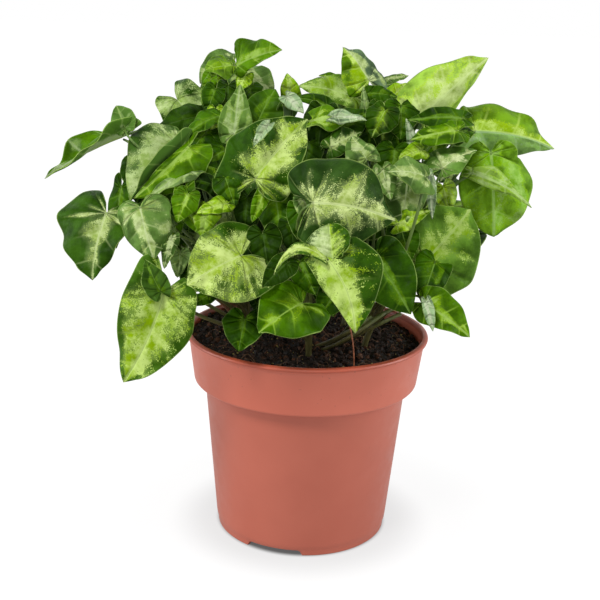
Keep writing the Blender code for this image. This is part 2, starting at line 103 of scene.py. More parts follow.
POT_RED = (0.54, 0.134, 0.082)
POT_RED_DEEP = (0.49, 0.115, 0.068)
LIP_RED = (0.46, 0.085, 0.040)
DUST_BROWN = (0.20, 0.07, 0.045)
DUST_Z = (70, 103)  # dust is a quarter as thick at the first height as at the second


def object_from(name, points, faces, material):
    """An object at the origin whose mesh has these points, in millimetres, and this list of faces."""
    mesh = bpy.data.meshes.new(name)
    mesh.from_pydata((np.asarray(points, float).reshape(-1, 3) * MM).tolist(), [], faces)
    mesh.materials.append(material)
    made = bpy.data.objects.new(name, mesh)
    bpy.context.scene.collection.objects.link(made)
    return made


def grid_quads(rows, columns, closed):
    """Faces of a grid of points kept row by row: each takes a point, the next in its row, and the two
    above them. In a closed grid the last point of a row is joined to its first."""
    first = columns * np.arange(rows - 1)[:, None]
    column = np.arange(columns if closed else columns - 1)
    beside = (column + 1) % columns
    above = first + columns
    return np.stack([first + column, first + beside, above + beside, above + column], axis=-1).reshape(-1, 4)


def welded(obj, within=0.001, closed=True):
    """Merges points this close, in millimetres. On a closed shell it also drops the faces that collapse
    at a pole or a seam, and turns the others outwards."""
    bm = bmesh.new()
    bm.from_mesh(obj.data)
    bmesh.ops.remove_doubles(bm, verts=bm.verts, dist=within * MM)
    if closed:
        bmesh.ops.dissolve_degenerate(bm, edges=bm.edges, dist=0.1 * within * MM)
        bmesh.ops.recalc_face_normals(bm, faces=bm.faces)
    bm.to_mesh(obj.data)
    bm.free()
    return obj


def kept(obj):
    """Keeps the shape that the object's modifiers give, and drops the modifiers."""
    graph = bpy.context.evaluated_depsgraph_get()
    shape = bpy.data.meshes.new_from_object(obj.evaluated_get(graph))
    obj.modifiers.clear()
    obj.data = shape


def smoothed(obj, angle=35):
    """Smooth shading, apart from edges sharper than the angle."""
    obj.data.shade_smooth()
    obj.data.set_sharp_from_angle(angle=radians(angle))
    return obj


def turned(profile, sides):
    """A profile carried round the Z axis: each (radius, z) gives a ring of points
    (radius cos a, radius sin a, z) at equal angles a."""
    radius, height = np.array(profile, float).T
    angle = np.arange(sides) * 2 * pi / sides
    around = np.stack([np.cos(angle), np.sin(angle)], axis=-1)
    flat = radius[:, None, None] * around[None]
    return np.concatenate([flat, np.broadcast_to(height[:, None, None], (len(radius), sides, 1))], axis=-1)


def add_node(tree, kind, sockets=None, **settings):
    """A new shader node. Its settings are named; sockets gives an input a value or another node's output."""
    made = tree.nodes.new("ShaderNode" + kind)
    for key, value in settings.items():
        setattr(made, key, value)
    for key, value in (sockets or {}).items():
        if isinstance(value, bpy.types.NodeSocket):
            tree.links.new(value, made.inputs[key])
        else:
            made.inputs[key].default_value = value
    return made


def new_finish(name, **constants):
    """A material, its node tree and its Principled shader, with these constants on the shader's sockets."""
    material = bpy.data.materials.new(name)
    material.use_nodes = True
    tree = material.node_tree
    shader = tree.nodes["Principled BSDF"]
    for key, value in constants.items():
        shader.inputs[key.replace("_", " ")].default_value = value
    return material, tree, shader


def in_object(tree):
    """The place on the piece, in metres."""
    return add_node(tree, "TexCoord").outputs["Object"]


def part_of(tree, vector):
    """A vector's three numbers."""
    return add_node(tree, "SeparateXYZ", {0: vector}).outputs


def noise_at(tree, place, scale, detail=2.0, roughness=0.5):
    """Blender's noise, from 0 to 1, with about scale lumps to the metre."""
    sockets = {"Vector": place, "Scale": scale, "Detail": detail, "Roughness": roughness}
    return add_node(tree, "TexNoise", sockets).outputs["Fac"]


def sums(tree, operation, *values):
    """What the operation makes of its one, two or three values."""
    return add_node(tree, "Math", dict(enumerate(values)), operation=operation).outputs[0]


def stretched(tree, value, low, high, to_low=0.0, to_high=1.0):
    """The value's stretch from low to high carried to to_low to to_high on a smooth step, flat beyond."""
    sockets = {"Value": value, "From Min": low, "From Max": high, "To Min": to_low, "To Max": to_high}
    return add_node(tree, "MapRange", sockets, interpolation_type="SMOOTHSTEP", clamp=True).outputs["Result"]


def blended(tree, share, first, second):
    """The first colour where share is 0 and the second where it is 1."""
    made = add_node(tree, "Mix", {"Factor": share}, data_type="RGBA")
    for key, value in (("A", first), ("B", second)):
        socket = [s for s in made.inputs if s.name == key and s.type == "RGBA"][0]
        if isinstance(value, bpy.types.NodeSocket):
            tree.links.new(value, socket)
        else:
            socket.default_value = (*value, 1)
    return [s for s in made.outputs if s.type == "RGBA"][0]


def shaded(tree, colour, value, saturation=1.0, hue=0.5):
    """The colour made lighter or darker, more or less strong, or turned in hue, where 0.5 is no turn."""
    sockets = {"Value": value, "Saturation": saturation, "Hue": hue, "Color": colour}
    return add_node(tree, "HueSaturation", sockets).outputs[0]


def bumped(tree, height, strength, distance_mm, under=None):
    """The surface's normal, raised by height times the distance."""
    sockets = {"Height": height, "Strength": strength, "Distance": distance_mm * MM}
    if under is not None:
        sockets["Normal"] = under
    return add_node(tree, "Bump", sockets).outputs["Normal"]


def pot_plastic():
    """Satin polypropylene: a faint cloudy tone, a collar painted lighter as painted light against the shade
    of the leaves above, a redder lip, dust specks that are denser towards the top, and the fine grain of the
    mould."""
    material, tree, shader = new_finish("pot plastic", Specular_IOR_Level=0.6, IOR=1.49)
    place = in_object(tree)
    height = part_of(tree, place)["Z"]
    clouds = noise_at(tree, place, 22, 3)
    body = blended(tree, stretched(tree, clouds, 0.3, 0.7), POT_RED, POT_RED_DEEP)
    # painted light: the collar is painted 1.2 times lighter than the body, against the shade the leaves cast
    # on it
    collar_painted_lighter = stretched(tree, height, (COLLAR_FOOT_Z - 1) * MM, (COLLAR_FOOT_Z + 1) * MM)
    body = blended(tree, collar_painted_lighter, body, shaded(tree, body, 1.2))
    lip = stretched(tree, height, (POT_HEIGHT - LIP_HEIGHT - 0.5) * MM, (POT_HEIGHT - LIP_HEIGHT + 0.1) * MM)
    body = blended(tree, lip, body, LIP_RED)
    dust = stretched(tree, noise_at(tree, place, 620, 1), 0.72, 0.80, 0, 0.5)
    dusty, dustiest = DUST_Z
    high = stretched(tree, height, dusty * MM, dustiest * MM, 0.25, 1.0)
    body = blended(tree, sums(tree, "MULTIPLY", dust, high), body, DUST_BROWN)
    tree.links.new(body, shader.inputs["Base Color"])
    rub = noise_at(tree, place, 140, 4)
    tree.links.new(stretched(tree, rub, 0.3, 0.7, 0.36, 0.47), shader.inputs["Roughness"])
    grain = bumped(tree, noise_at(tree, place, 2600, 2), 0.05, 0.05)
    tree.links.new(bumped(tree, noise_at(tree, place, 45, 2), 0.12, 0.6, grain), shader.inputs["Normal"])
    return material


def pot_profile():
    """Four stretches of (radius, z): from the middle of the hollow's floor up to the lip, over it and
    down the outside, round the foot skirt, and under the floor."""
    ledge = COLLAR_FOOT_Z + WALL
    inside = [
        (0, FLOOR_TOP_Z),
        (BODY_FOOT_RADIUS - WALL - 1, FLOOR_TOP_Z),
        (BODY_FOOT_RADIUS - WALL, FLOOR_TOP_Z + 1),
        (BODY_TOP_RADIUS - WALL, ledge - 1),
        (BODY_TOP_RADIUS - WALL + 1, ledge),
        (COLLAR_FOOT_RADIUS - WALL - 1, ledge),
        (COLLAR_FOOT_RADIUS - WALL, ledge + 1),
        (COLLAR_TOP_RADIUS - WALL, POT_HEIGHT - LIP_HEIGHT),
        (COLLAR_TOP_RADIUS - WALL + 0.3, POT_HEIGHT - 0.5),
        (COLLAR_TOP_RADIUS - WALL + 0.6, POT_HEIGHT - 0.1),
    ]
    outside = [
        (RIM_RADIUS - 1.6, POT_HEIGHT),
        (RIM_RADIUS - 0.8, POT_HEIGHT - 0.1),
        (RIM_RADIUS - 0.25, POT_HEIGHT - 0.45),
        (RIM_RADIUS, POT_HEIGHT - LIP_HEIGHT / 2),
        (RIM_RADIUS - 0.2, POT_HEIGHT - LIP_HEIGHT + 0.45),
        (RIM_RADIUS - 0.7, POT_HEIGHT - LIP_HEIGHT + 0.15),
        (COLLAR_TOP_RADIUS + 0.35, POT_HEIGHT - LIP_HEIGHT - 0.1),
        (COLLAR_TOP_RADIUS, POT_HEIGHT - LIP_HEIGHT - 0.6),
        (COLLAR_FOOT_RADIUS, COLLAR_FOOT_Z + STEP_ROUND),
        (COLLAR_FOOT_RADIUS - 0.2, COLLAR_FOOT_Z + 0.9),
        (COLLAR_FOOT_RADIUS - 0.7, COLLAR_FOOT_Z + 0.35),
        (COLLAR_FOOT_RADIUS - STEP_ROUND, COLLAR_FOOT_Z),
        (BODY_TOP_RADIUS + 1.2, COLLAR_FOOT_Z - 0.3),
        (BODY_TOP_RADIUS + 0.35, COLLAR_FOOT_Z - 0.9),
        (BODY_TOP_RADIUS, COLLAR_FOOT_Z - 2.0),
        (BODY_FOOT_RADIUS, FOOT_ROUND_Z),
        (BODY_FOOT_RADIUS - 0.2, FOOT_ROUND_Z - 1.4),
        (FOOT_RADIUS + 0.35, FLOOR_Z + 0.2),
    ]
    skirt = [
        (FOOT_RADIUS + 0.2, FLOOR_Z - 0.4),
        (FOOT_RADIUS, 0.35),
        (FOOT_RADIUS - 0.4, 0),
        (FOOT_RADIUS - SKIRT_WALL + 0.3, 0),
        (FOOT_RADIUS - SKIRT_WALL, 0.35),
        (FOOT_RADIUS - SKIRT_WALL, SKIRT_TOP_Z),
    ]
    return inside, outside, skirt, [(FOOT_RADIUS - SKIRT_WALL - 0.2, FLOOR_Z), (0, FLOOR_Z)]


def make_pot():
    """The profile turned about the axis. Over each gap's angle the skirt is drawn up to the floor:
    z becomes top - (top - z) (1 - rise gap), where gap goes from 0 to 1 and back on smooth steps. The
    drain holes are punched through the floor on a ring."""
    inside, outside, skirt, under = pot_profile()
    rings = turned(inside + outside + skirt + under, POT_SIDES)
    azimuth = np.degrees(np.arctan2(rings[1, :, 1], rings[1, :, 0]))
    off = (azimuth - FOOT_GAP_AZIMUTH + 180 / FOOT_GAPS) % (360 / FOOT_GAPS) - 180 / FOOT_GAPS
    step = np.clip((FOOT_GAP_ANGLE / 2 - abs(off)) / FOOT_GAP_SLOPE + 0.5, 0, 1)
    gap = step * step * (3 - 2 * step)
    first = len(inside) + len(outside)
    lowest = rings[first:first + len(skirt), :, 2]
    risen = SKIRT_TOP_Z - (SKIRT_TOP_Z - lowest) * (1 - FOOT_GAP_RISE * gap)
    rings[first:first + len(skirt), :, 2] = risen
    plastic = pot_plastic()
    pot = welded(object_from("pot_body", rings, grid_quads(len(rings), POT_SIDES, True).tolist(), plastic))
    low, high = PUNCH_Z
    hole = turned([(0, low), (DRAIN_RADIUS, low), (DRAIN_RADIUS, high), (0, high)], PUNCH_SIDES)
    faces = grid_quads(len(hole), PUNCH_SIDES, True).tolist()
    punches = []
    for index in range(DRAIN_HOLES):
        angle = index * 2 * pi / DRAIN_HOLES
        place = [DRAIN_RING * cos(angle), DRAIN_RING * sin(angle), 0]
        punches.append(welded(object_from(f"punch_{index}", hole + place, faces, plastic)))
        cut = pot.modifiers.new(f"Drain {index + 1}", "BOOLEAN")
        cut.operation = "DIFFERENCE"
        cut.solver = "EXACT"
        cut.object = punches[-1]
    kept(pot)
    for punch in punches:
        bpy.data.objects.remove(punch, do_unlink=True)
    return smoothed(pot)


pot = make_pot()
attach(pot, "root")
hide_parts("pot")

# ---------------------------------------------------------------- Soil
# A plug of dark peat compost that the roots hold together. Its top lies a few millimetres under the
# lip, in clods, with loose crumbs, pale root fibres and a few grains of fertiliser on it.

SOIL_MID_Z = 98.3
SOIL_EDGE_Z = 97.3
SOIL_RADIUS = 56.3
SOIL_TILT = (-0.036, 0.03)  # the soil was pressed in by hand, so it leans up to the back left
SOIL_GAP = 0.3  # between the plug and the pot
SOIL_RINGS = 84
SOIL_SECTORS = 220
SOIL_SEED = 11
CLOD_WAVES = 40
CLOD_LENGTHS = (2.2, 17)
CRUMBS = 4200
FIBRES = 130
FIBRE_STEPS = 9
GRAINS = 170

PEAT = (0.0065, 0.0045, 0.0036)
PEAT_BROWN = (0.050, 0.025, 0.015)
PEAT_RED = (0.115, 0.045, 0.018)
FIBRE_TAN = (0.17, 0.095, 0.04)
GRAIN_YELLOW = (0.42, 0.32, 0.12)
GRAIN_OLIVE = (0.30, 0.24, 0.06)
GRAIN_BROWN = (0.16, 0.12, 0.04)

chance = np.random.default_rng(SOIL_SEED)
wave_length = chance.uniform(*CLOD_LENGTHS, CLOD_WAVES)
wave_way = chance.uniform(0, 2 * pi, CLOD_WAVES)
wave_start = chance.uniform(0, 2 * pi, CLOD_WAVES)


def soil_height(x, y):
    """Height of the soil: a flat dome that falls to the wall with the square of the radius, plus a lean,
    plus the clods, which are 0.9 - 0.75 sqrt(sum^2 + 0.02). The sum is that of plane waves of many
    lengths, each as high as 3% of its length, and it is folded so that the hollows are round and the
    ridges between them narrow."""
    radius = np.hypot(x, y)
    dome = SOIL_MID_Z - (SOIL_MID_Z - SOIL_EDGE_Z) * (radius / SOIL_RADIUS) ** 2
    across = x[..., None] * np.cos(wave_way) + y[..., None] * np.sin(wave_way)
    waves = np.sin(2 * pi * across / wave_length + wave_start) * wave_length * 0.03
    clods = waves.sum(axis=-1)
    lean = SOIL_TILT[0] * x + SOIL_TILT[1] * y
    return dome + lean + 0.9 - 0.75 * np.sqrt(clods**2 + 0.02)


def kept_value(tree, name, output):
    """What the mesh keeps under this name."""
    return add_node(tree, "Attribute", attribute_name=name).outputs[output]


def peat(name, scale):
    """Damp peat: nearly black with brown lumps, and red where a crumb's own tone is high."""
    material, tree, shader = new_finish(name, Specular_IOR_Level=0.3)
    place = in_object(tree)
    lumps = stretched(tree, noise_at(tree, place, scale, 4, 0.65), 0.38, 0.72)
    colour = blended(tree, lumps, PEAT, PEAT_BROWN)
    colour = blended(tree, stretched(tree, kept_value(tree, "tone", "Fac"), 0.55, 1.0), colour, PEAT_RED)
    tree.links.new(colour, shader.inputs["Base Color"])
    tree.links.new(stretched(tree, lumps, 0, 1, 0.62, 0.95), shader.inputs["Roughness"])
    tree.links.new(bumped(tree, noise_at(tree, place, 2 * scale, 4, 0.7), 0.7, 0.6), shader.inputs["Normal"])
    return material


def fertiliser():
    """Dull olive to yellow grains, mottled with brown."""
    material, tree, shader = new_finish("fertiliser grain", Roughness=0.6)
    tone = stretched(tree, kept_value(tree, "tone", "Fac"), 0, 1)
    mottle = stretched(tree, noise_at(tree, in_object(tree), 1500, 2), 0.4, 0.7)
    colour = blended(tree, mottle, blended(tree, tone, GRAIN_OLIVE, GRAIN_YELLOW), GRAIN_BROWN)
    tree.links.new(colour, shader.inputs["Base Color"])
    return material


def strand(name, low, high, scale, roughness):
    """A dry matt strand, mottled from the low to the high colour."""
    material, tree, shader = new_finish(name, Roughness=roughness)
    mottle = stretched(tree, noise_at(tree, in_object(tree), scale, 2), 0.35, 0.65)
    tree.links.new(blended(tree, mottle, low, high), shader.inputs["Base Color"])
    return material


def keep_values(obj, name, kind, field, values):
    """Gives each point of the mesh its value under this name, for a finish to read."""
    attribute = obj.data.attributes.new(name, kind, "POINT")
    attribute.data.foreach_set(field, np.asarray(values, np.float32).ravel())


def scattered(count, most, rng):
    """Places spread evenly over a disc: the radius goes as the root of a random share."""
    radius = most * np.sqrt(rng.uniform(0, 1, count))
    angle = rng.uniform(0, 2 * pi, count)
    return radius * np.cos(angle), radius * np.sin(angle)


def any_turns(count, rng):
    """Random rotation matrices, from random unit quaternions."""
    quaternion = rng.normal(size=(4, count))
    w, x, y, z = quaternion / np.linalg.norm(quaternion, axis=0)
    rows = (
        (1 - 2 * (y * y + z * z), 2 * (x * y - z * w), 2 * (x * z + y * w)),
        (2 * (x * y + z * w), 1 - 2 * (x * x + z * z), 2 * (y * z - x * w)),
        (2 * (x * z - y * w), 2 * (y * z + x * w), 1 - 2 * (x * x + y * y)),
    )
    return np.moveaxis(np.array(rows), -1, 0)


def twenty_faced_ball():
    """The twelve corners of the regular ball of twenty triangles, which are (+-1, +-golden, 0) and its
    turns over the axes, at radius 1; and the triangles, which are the trios of corners that lie side by
    side, each one's corners in the order that faces outwards."""
    golden = (1 + 5**0.5) / 2
    base = np.array([(a, b * golden, 0) for a in (-1, 1) for b in (-1, 1)])
    base = np.concatenate([base, base[:, [2, 0, 1]], base[:, [1, 2, 0]]]) / np.hypot(1, golden)
    gaps = np.linalg.norm(base[:, None] - base[None], axis=2)
    near = (gaps > 0.1) & (gaps < 1.1)
    corners = range(len(base))
    trios = [(i, j, k) for i in corners for j in corners[:i] for k in corners[:j]]
    trios = np.array([(i, j, k) for i, j, k in trios if near[i, j] and near[j, k] and near[i, k]])
    a, b, c = np.moveaxis(base[trios], 1, 0)
    outward = (np.cross(b - a, c - a) * (a + b + c)).sum(axis=1)
    trios[outward < 0] = trios[outward < 0][:, ::-1]
    return base, trios


def crumbs(name, sizes, most, lift, material):
    """Many small clods in one mesh: a twenty-faced ball of each size, each corner pushed in or out at
    random, each ball stretched and turned at random. They are scattered over a disc, with their middles
    this many times their size above the soil."""
    count = len(sizes)
    base, trios = twenty_faced_ball()
    x, y = scattered(count, most, chance)
    bumps = chance.uniform(0.62, 1.25, (count, len(base), 1))
    stretch = chance.uniform(0.6, 1.3, (count, 1, 3))
    balls = np.einsum("nij,nkj->nki", any_turns(count, chance), base[None] * bumps * stretch)
    centre = np.stack([x, y, soil_height(x, y) + sizes * lift], axis=-1)
    points = balls * sizes[:, None, None] + centre[:, None]
    faces = (trios[None] + len(base) * np.arange(count)[:, None, None]).reshape(-1, 3)
    made = object_from(name, points, faces.tolist(), material)
    tone = chance.uniform(0, 1, count) ** 1.5
    keep_values(made, "tone", "FLOAT", "value", np.repeat(tone, len(base)))
    return made


def tubes(paths, radii, sides):
    """Tubes along many paths at once. A ring is centre + r (cos a side + sin a over), where side is at
    right angles to the path and as level as it can be, and over is at right angles to both. The caps
    are fans about the paths' two ends. Returns the points and the faces."""
    count, steps, _ = paths.shape
    along = np.gradient(paths, axis=1)
    along /= np.linalg.norm(along, axis=2, keepdims=True)
    level = np.array([0.02, 0.01, 1.0])
    side = np.cross(along, level)
    side /= np.linalg.norm(side, axis=2, keepdims=True)
    over = np.cross(side, along)
    angle = np.arange(sides) * 2 * pi / sides
    spokes = np.cos(angle)[:, None] * side[:, :, None] + np.sin(angle)[:, None] * over[:, :, None]
    rings = paths[:, :, None] + radii[:, :, None, None] * spokes
    points = np.concatenate([rings.reshape(count, -1, 3), paths[:, [0, -1]]], axis=1)
    size = steps * sides + 2
    wall = grid_quads(steps, sides, True)[:, ::-1]
    ring = np.arange(sides)
    after = (ring + 1) % sides
    foot = np.stack([ring, after, np.full(sides, size - 2)], axis=-1)
    last = (steps - 1) * sides
    tip = np.stack([last + after, last + ring, np.full(sides, size - 1)], axis=-1)
    shift = size * np.arange(count)[:, None, None]
    quads = (wall[None] + shift).reshape(-1, 4).tolist()
    caps = (np.concatenate([foot, tip])[None] + shift).reshape(-1, 3).tolist()
    return points.reshape(-1, 3), quads + caps


def tube_object(name, paths, radii, sides, material):
    """One smooth piece of all these tubes."""
    made = object_from(name, *tubes(paths, radii, sides), material)
    made.data.shade_smooth()
    return made


def make_soil():
    """Rings of points from the middle to the wall at the soil's height, then down the pot's inside with
    the gap between, and over its floor."""
    radius = np.linspace(0, SOIL_RADIUS, SOIL_RINGS) ** 0.9 * SOIL_RADIUS**0.1
    top = turned(np.stack([radius, np.zeros(SOIL_RINGS)], axis=-1), SOIL_SECTORS)
    top[:, :, 2] = soil_height(top[:, :, 0], top[:, :, 1])
    shell = WALL + SOIL_GAP
    ledge = COLLAR_FOOT_Z + shell
    base = FLOOR_TOP_Z + SOIL_GAP
    wall = turned([
        (SOIL_RADIUS - 0.6, SOIL_EDGE_Z - 6),
        (COLLAR_FOOT_RADIUS - shell, ledge + 1),
        (COLLAR_FOOT_RADIUS - shell - 1, ledge),
        (BODY_TOP_RADIUS - shell + 1, ledge),
        (BODY_TOP_RADIUS - shell, ledge - 1.3),
        (BODY_FOOT_RADIUS - shell, base + 1),
        (BODY_FOOT_RADIUS - shell - 1, base),
        (0, base),
    ], SOIL_SECTORS)
    rings = np.concatenate([top, wall])
    faces = grid_quads(len(rings), SOIL_SECTORS, True).tolist()
    return smoothed(welded(object_from("soil_plug", rings, faces, peat("peat", 420))), 60)


def make_fibres():
    """Short root fibres: each path goes out along a heading that turns steadily, and lies on the soil
    in a low arch, height = soil + 0.5 + lift 4 t (1 - t)."""
    t = np.linspace(0, 1, FIBRE_STEPS)[None]
    x, y = scattered(FIBRES, SOIL_RADIUS - 6, chance)
    heading = chance.uniform(0, 2 * pi, FIBRES)[:, None] + chance.uniform(-2, 2, FIBRES)[:, None] * t
    length = chance.uniform(3, 13, FIBRES)[:, None]
    px = x[:, None] + np.cumsum(np.cos(heading), axis=1) * length / FIBRE_STEPS
    py = y[:, None] + np.cumsum(np.sin(heading), axis=1) * length / FIBRE_STEPS
    off = np.maximum(np.hypot(px, py) / (SOIL_RADIUS - 1), 1)
    px, py = px / off, py / off
    lift = chance.uniform(0.2, 2.2, FIBRES)[:, None]
    pz = soil_height(px, py) + 0.5 + lift * 4 * t * (1 - t)
    radii = np.broadcast_to(chance.uniform(0.07, 0.2, FIBRES)[:, None], px.shape)
    finish = strand("root fibre", FIBRE_TAN, PEAT_RED, 300, 0.7)
    return tube_object("soil_fibres", np.stack([px, py, pz], axis=-1), radii, 5, finish)


soil = make_soil()
crumb_sizes = 0.35 + 1.25 * chance.uniform(0, 1, CRUMBS) ** 2.6
soil_crumbs = crumbs("soil_crumbs", crumb_sizes, SOIL_RADIUS - 0.8, 0.25, peat("loose peat", 260))
grain_sizes = chance.uniform(0.25, 0.6, GRAINS)
soil_grains = crumbs("soil_grains", grain_sizes, SOIL_RADIUS - 1, 1.3, fertiliser())
soil_fibres = make_fibres()
for piece in (soil, soil_crumbs, soil_grains, soil_fibres):
    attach(piece, "root")
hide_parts("soil")

# ---------------------------------------------------------------- Stems and petioles
# Five short stems stand in the soil. Each carries its leaves on thin round petioles, which are green
# above and sheathed near the soil, in pinkish brown on the left stem and olive on the others. Their shapes
# are the CAD nodes', merged.

STEMS = {
    "left": ((-27, -14), (-8, -3)),
    "front": ((1, -27), (0, -6)),
    "right": ((27, -11), (7, -3)),
    "back_left": ((-17, 18), (-5, 5)),
    "back_right": ((18, 20), (5, 5)),
}  # where each stands, and how far its top leans out
STEM_BEND_Z = 95.6
STEM_TOP_Z = 118.0
STEM_REACH = 3.2  # a point further from the axis belongs to a petiole
STEM_SLIM = 0.62  # the stem's thickness at the soil, in shares of the CAD's
STEM_WELD = 0.01
OLIVE_Z = (128, 150)  # the heights over which the sheath's colour turns olive,
GREEN_Z = (150, 205)  # and olive turns green
SHEATH_PINK = (0.26, 0.115, 0.065)
SHEATH_OLIVE = (0.105, 0.095, 0.030)
PETIOLE_OLIVE = (0.105, 0.145, 0.026)
PETIOLE_GREEN = (0.12, 0.22, 0.036)
STREAK_OLIVE = (0.035, 0.045, 0.010)


def petiole_finish(name, sheath):
    """The sheath's colour at the foot, olive above it, green at the blades, with fine streaks."""
    material, tree, shader = new_finish(name, Roughness=0.42, Specular_IOR_Level=0.4)
    place = in_object(tree)
    height = part_of(tree, place)["Z"]
    wander = sums(tree, "MULTIPLY_ADD", noise_at(tree, place, 40, 2), 0.03, height)
    colour = blended(tree, stretched(tree, wander, *(z * MM for z in OLIVE_Z)), sheath, PETIOLE_OLIVE)
    colour = blended(tree, stretched(tree, wander, *(z * MM for z in GREEN_Z)), colour, PETIOLE_GREEN)
    thin = add_node(tree, "Mapping", {"Vector": place, "Scale": (900, 900, 60)}).outputs[0]
    streaks = stretched(tree, noise_at(tree, thin, 1, 2), 0.4, 0.7, 0, 0.5)
    colour = blended(tree, streaks, colour, STREAK_OLIVE)
    tree.links.new(colour, shader.inputs["Base Color"])
    tree.links.new(bumped(tree, streaks, 0.25, 0.1), shader.inputs["Normal"])
    return material


def slimmed(obj, foot, lean):
    """Draws the points of the stem itself in towards its axis, less and less up to the stem's top. The
    axis is foot + lean share, where share is (z - bend) / (top - bend), and upright below the bend. A
    point's distance from it is multiplied by slim + (1 - slim) share^2."""
    points = np.empty(3 * len(obj.data.vertices))
    obj.data.vertices.foreach_get("co", points)
    points = points.reshape(-1, 3) / MM
    share = np.clip((points[:, 2] - STEM_BEND_Z) / (STEM_TOP_Z - STEM_BEND_Z), 0, 1)[:, None]
    axis = np.array(foot) + np.array(lean) * share
    off = points[:, :2] - axis
    near = (np.linalg.norm(off, axis=1) < STEM_REACH) & (points[:, 2] < STEM_TOP_Z + 1)
    slim = STEM_SLIM + (1 - STEM_SLIM) * share**2
    points[near, :2] = (axis + off * slim)[near]
    obj.data.vertices.foreach_set("co", (points * MM).ravel())
    obj.data.update()


petiole_pink = petiole_finish("petiole with pink sheath", SHEATH_PINK)
petiole_green = petiole_finish("petiole", SHEATH_OLIVE)
for stem, (foot, lean) in STEMS.items():
    name = f"stem_{stem}"
    stalk = bpy.data.objects.new(f"{name}_petioles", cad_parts[name].data.copy())
    bpy.context.scene.collection.objects.link(stalk)
    stalk.data.materials.clear()
    stalk.data.materials.append(petiole_pink if stem == "left" else petiole_green)
    welded(stalk, STEM_WELD, closed=False)
    slimmed(stalk, foot, lean)
    smoothed(stalk, 70)
    rounding = stalk.modifiers.new("Round", "SUBSURF")
    rounding.levels = 1
    rounding.render_levels = 1
    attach(stalk, "root")
    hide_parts(name)

# ---------------------------------------------------------------- Leaves
# Arrowhead blades, thin and supple, sunk along the veins. The upper side is dark green, marked with
# cream or lime from the midrib outwards, with a speckled border; the underside is paler and dull.

BLADE_THICKNESS = 0.42
BLADE_ROWS = 56  # from the sinus to the tip
BLADE_COLUMNS = 32  # across both halves
BLADE_WELD = 0.005
CRUMPLE_SEED = 500  # with the leaf's number added
MARKING_SEED = 100
VEIN_RISE = 0.55  # how far a side vein climbs, in shares of how far out it goes
VEINS = 7  # side veins on each half
CUP = 0.42  # how far each half droops at its margin
OUTLINE_WIDTH = 0.87  # the full width of the outline below
OUTLINE = (  # out from the midrib and up it, in blade lengths, from the sinus to the tip
    (0.0, 0.0),
    (0.07, -0.13),
    (0.19, -0.24),
    (0.34, -0.17),
    (0.435, 0.07),
    (0.42, 0.34),
    (0.305, 0.62),
    (0.14, 0.85),
    (0.0, 1.0),
)


def shown(red, green, blue):
    """A colour as a screen shows it, 0 to 255, as linear light."""
    part = np.array([red, green, blue]) / 255
    return tuple(np.where(part <= 0.04045, part / 12.92, ((part + 0.055) / 1.055) ** 2.4).tolist())


@dataclass(frozen=True)
class Look:
    """How a blade's upper side is marked. Its colours are as a screen shows them, 0 to 255."""
    dark: tuple  # the green ground
    pale: tuple  # the marking
    reach: object = 0.0  # how far the marking goes out from the midrib, in shares of the half's width
    fingers: float = 0.1  # how much further it goes along the side veins
    speckle: float = 0.3  # how far the border is broken into specks
    patches: float = 0.15  # how uneven the marking is
    soft: float = 0.10  # the width of the border
    veins: float = 0.3  # how pale the side veins are on the green ground


STAR = Look((42, 78, 10), (190, 208, 136), 0.20, 0.62, 1.0, 0.12, 0.08, 0.3)
FEATHER = Look((35, 71, 2), (190, 212, 118), 0.22, 0.8, 1.0, 0.2, 0.08, 0.4)
LIME = Look((38, 74, 4), (186, 212, 108), 0.60, 0.26, 1.35, 0.2, 0.08, 0.3)
CREAM = Look((40, 77, 4), (196, 218, 122), 0.60, 0.28, 1.35, 0.28, 0.08, 0.3)
# BRIGHT_BACKLIT paints into the colour the yellow-green glow of light shining through a thin blade
BRIGHT_BACKLIT = Look((112, 158, 16), (188, 218, 100), 0.5, 0.4, 0.8, 0.45, 0.3, 0.6)
PLAIN = Look((40, 78, 0), (104, 144, 34), 0.06, 0.2, 0.5, 0.3, 0.3, 0.3)
DEEP = Look((26, 54, 0), (62, 94, 22), 0.04, 0.16, 0.4, 0.3, 0.3, 0.25)
LEAFY = Look((68, 112, 0), (154, 190, 70), 0.12, 0.36, 0.5, 0.3, 0.22, 0.6)
STREAK = Look((36, 70, 0), (158, 190, 80), 0.14, 0.1, 0.3, 0.1, 0.1, 0.3)
# GREY_SHEEN paints into the colour the bluish-grey sheen that soft light leaves on a glossy blade
GREY_SHEEN = Look((82, 116, 50), (188, 206, 140), 0.3, 0.4, 0.8, 0.5, 0.12, 0.5)
SAGE = Look((104, 134, 72), (166, 188, 124), 0.3, 0.3, 0.6, 0.5, 0.3, 0.5)
SILVER = Look((132, 160, 116), (196, 210, 172), 0.4, 0.3, 0.6, 0.5, 0.3, 0.5)


@dataclass(frozen=True)
class Leaf:
    """Where a blade is and how it is shaped. Its number is also the seed of its own unevenness."""
    number: int
    at: tuple  # where the petiole meets the blade
    tip: tuple
    faces: tuple  # azimuth and elevation of the upper side's normal
    width: object = 0.95  # full width in blade lengths; a pair gives the left and right halves their own
    fold: object = 5  # rise of each half about the midrib; a pair gives left and right
    lobes: object = 1.0  # reach of the basal lobes; a pair gives left and right
    bend: float = 0.08  # rise of the midrib's middle in blade lengths
    twist: float = 0.0
    lean: float = 0.0  # sideways bow of the midrib in blade lengths
    look: object = LEAFY  # a pair gives the left and right halves their own
    wave: float = 0.055  # rise and fall of the margin, in blade lengths
    quilt: float = 0.024  # how far the blade swells between the side veins
    crumple: float = 0.034  # slow rises and hollows all over the blade, in blade lengths
    blunt: float = 0.0  # how much fuller the blade is towards its tip


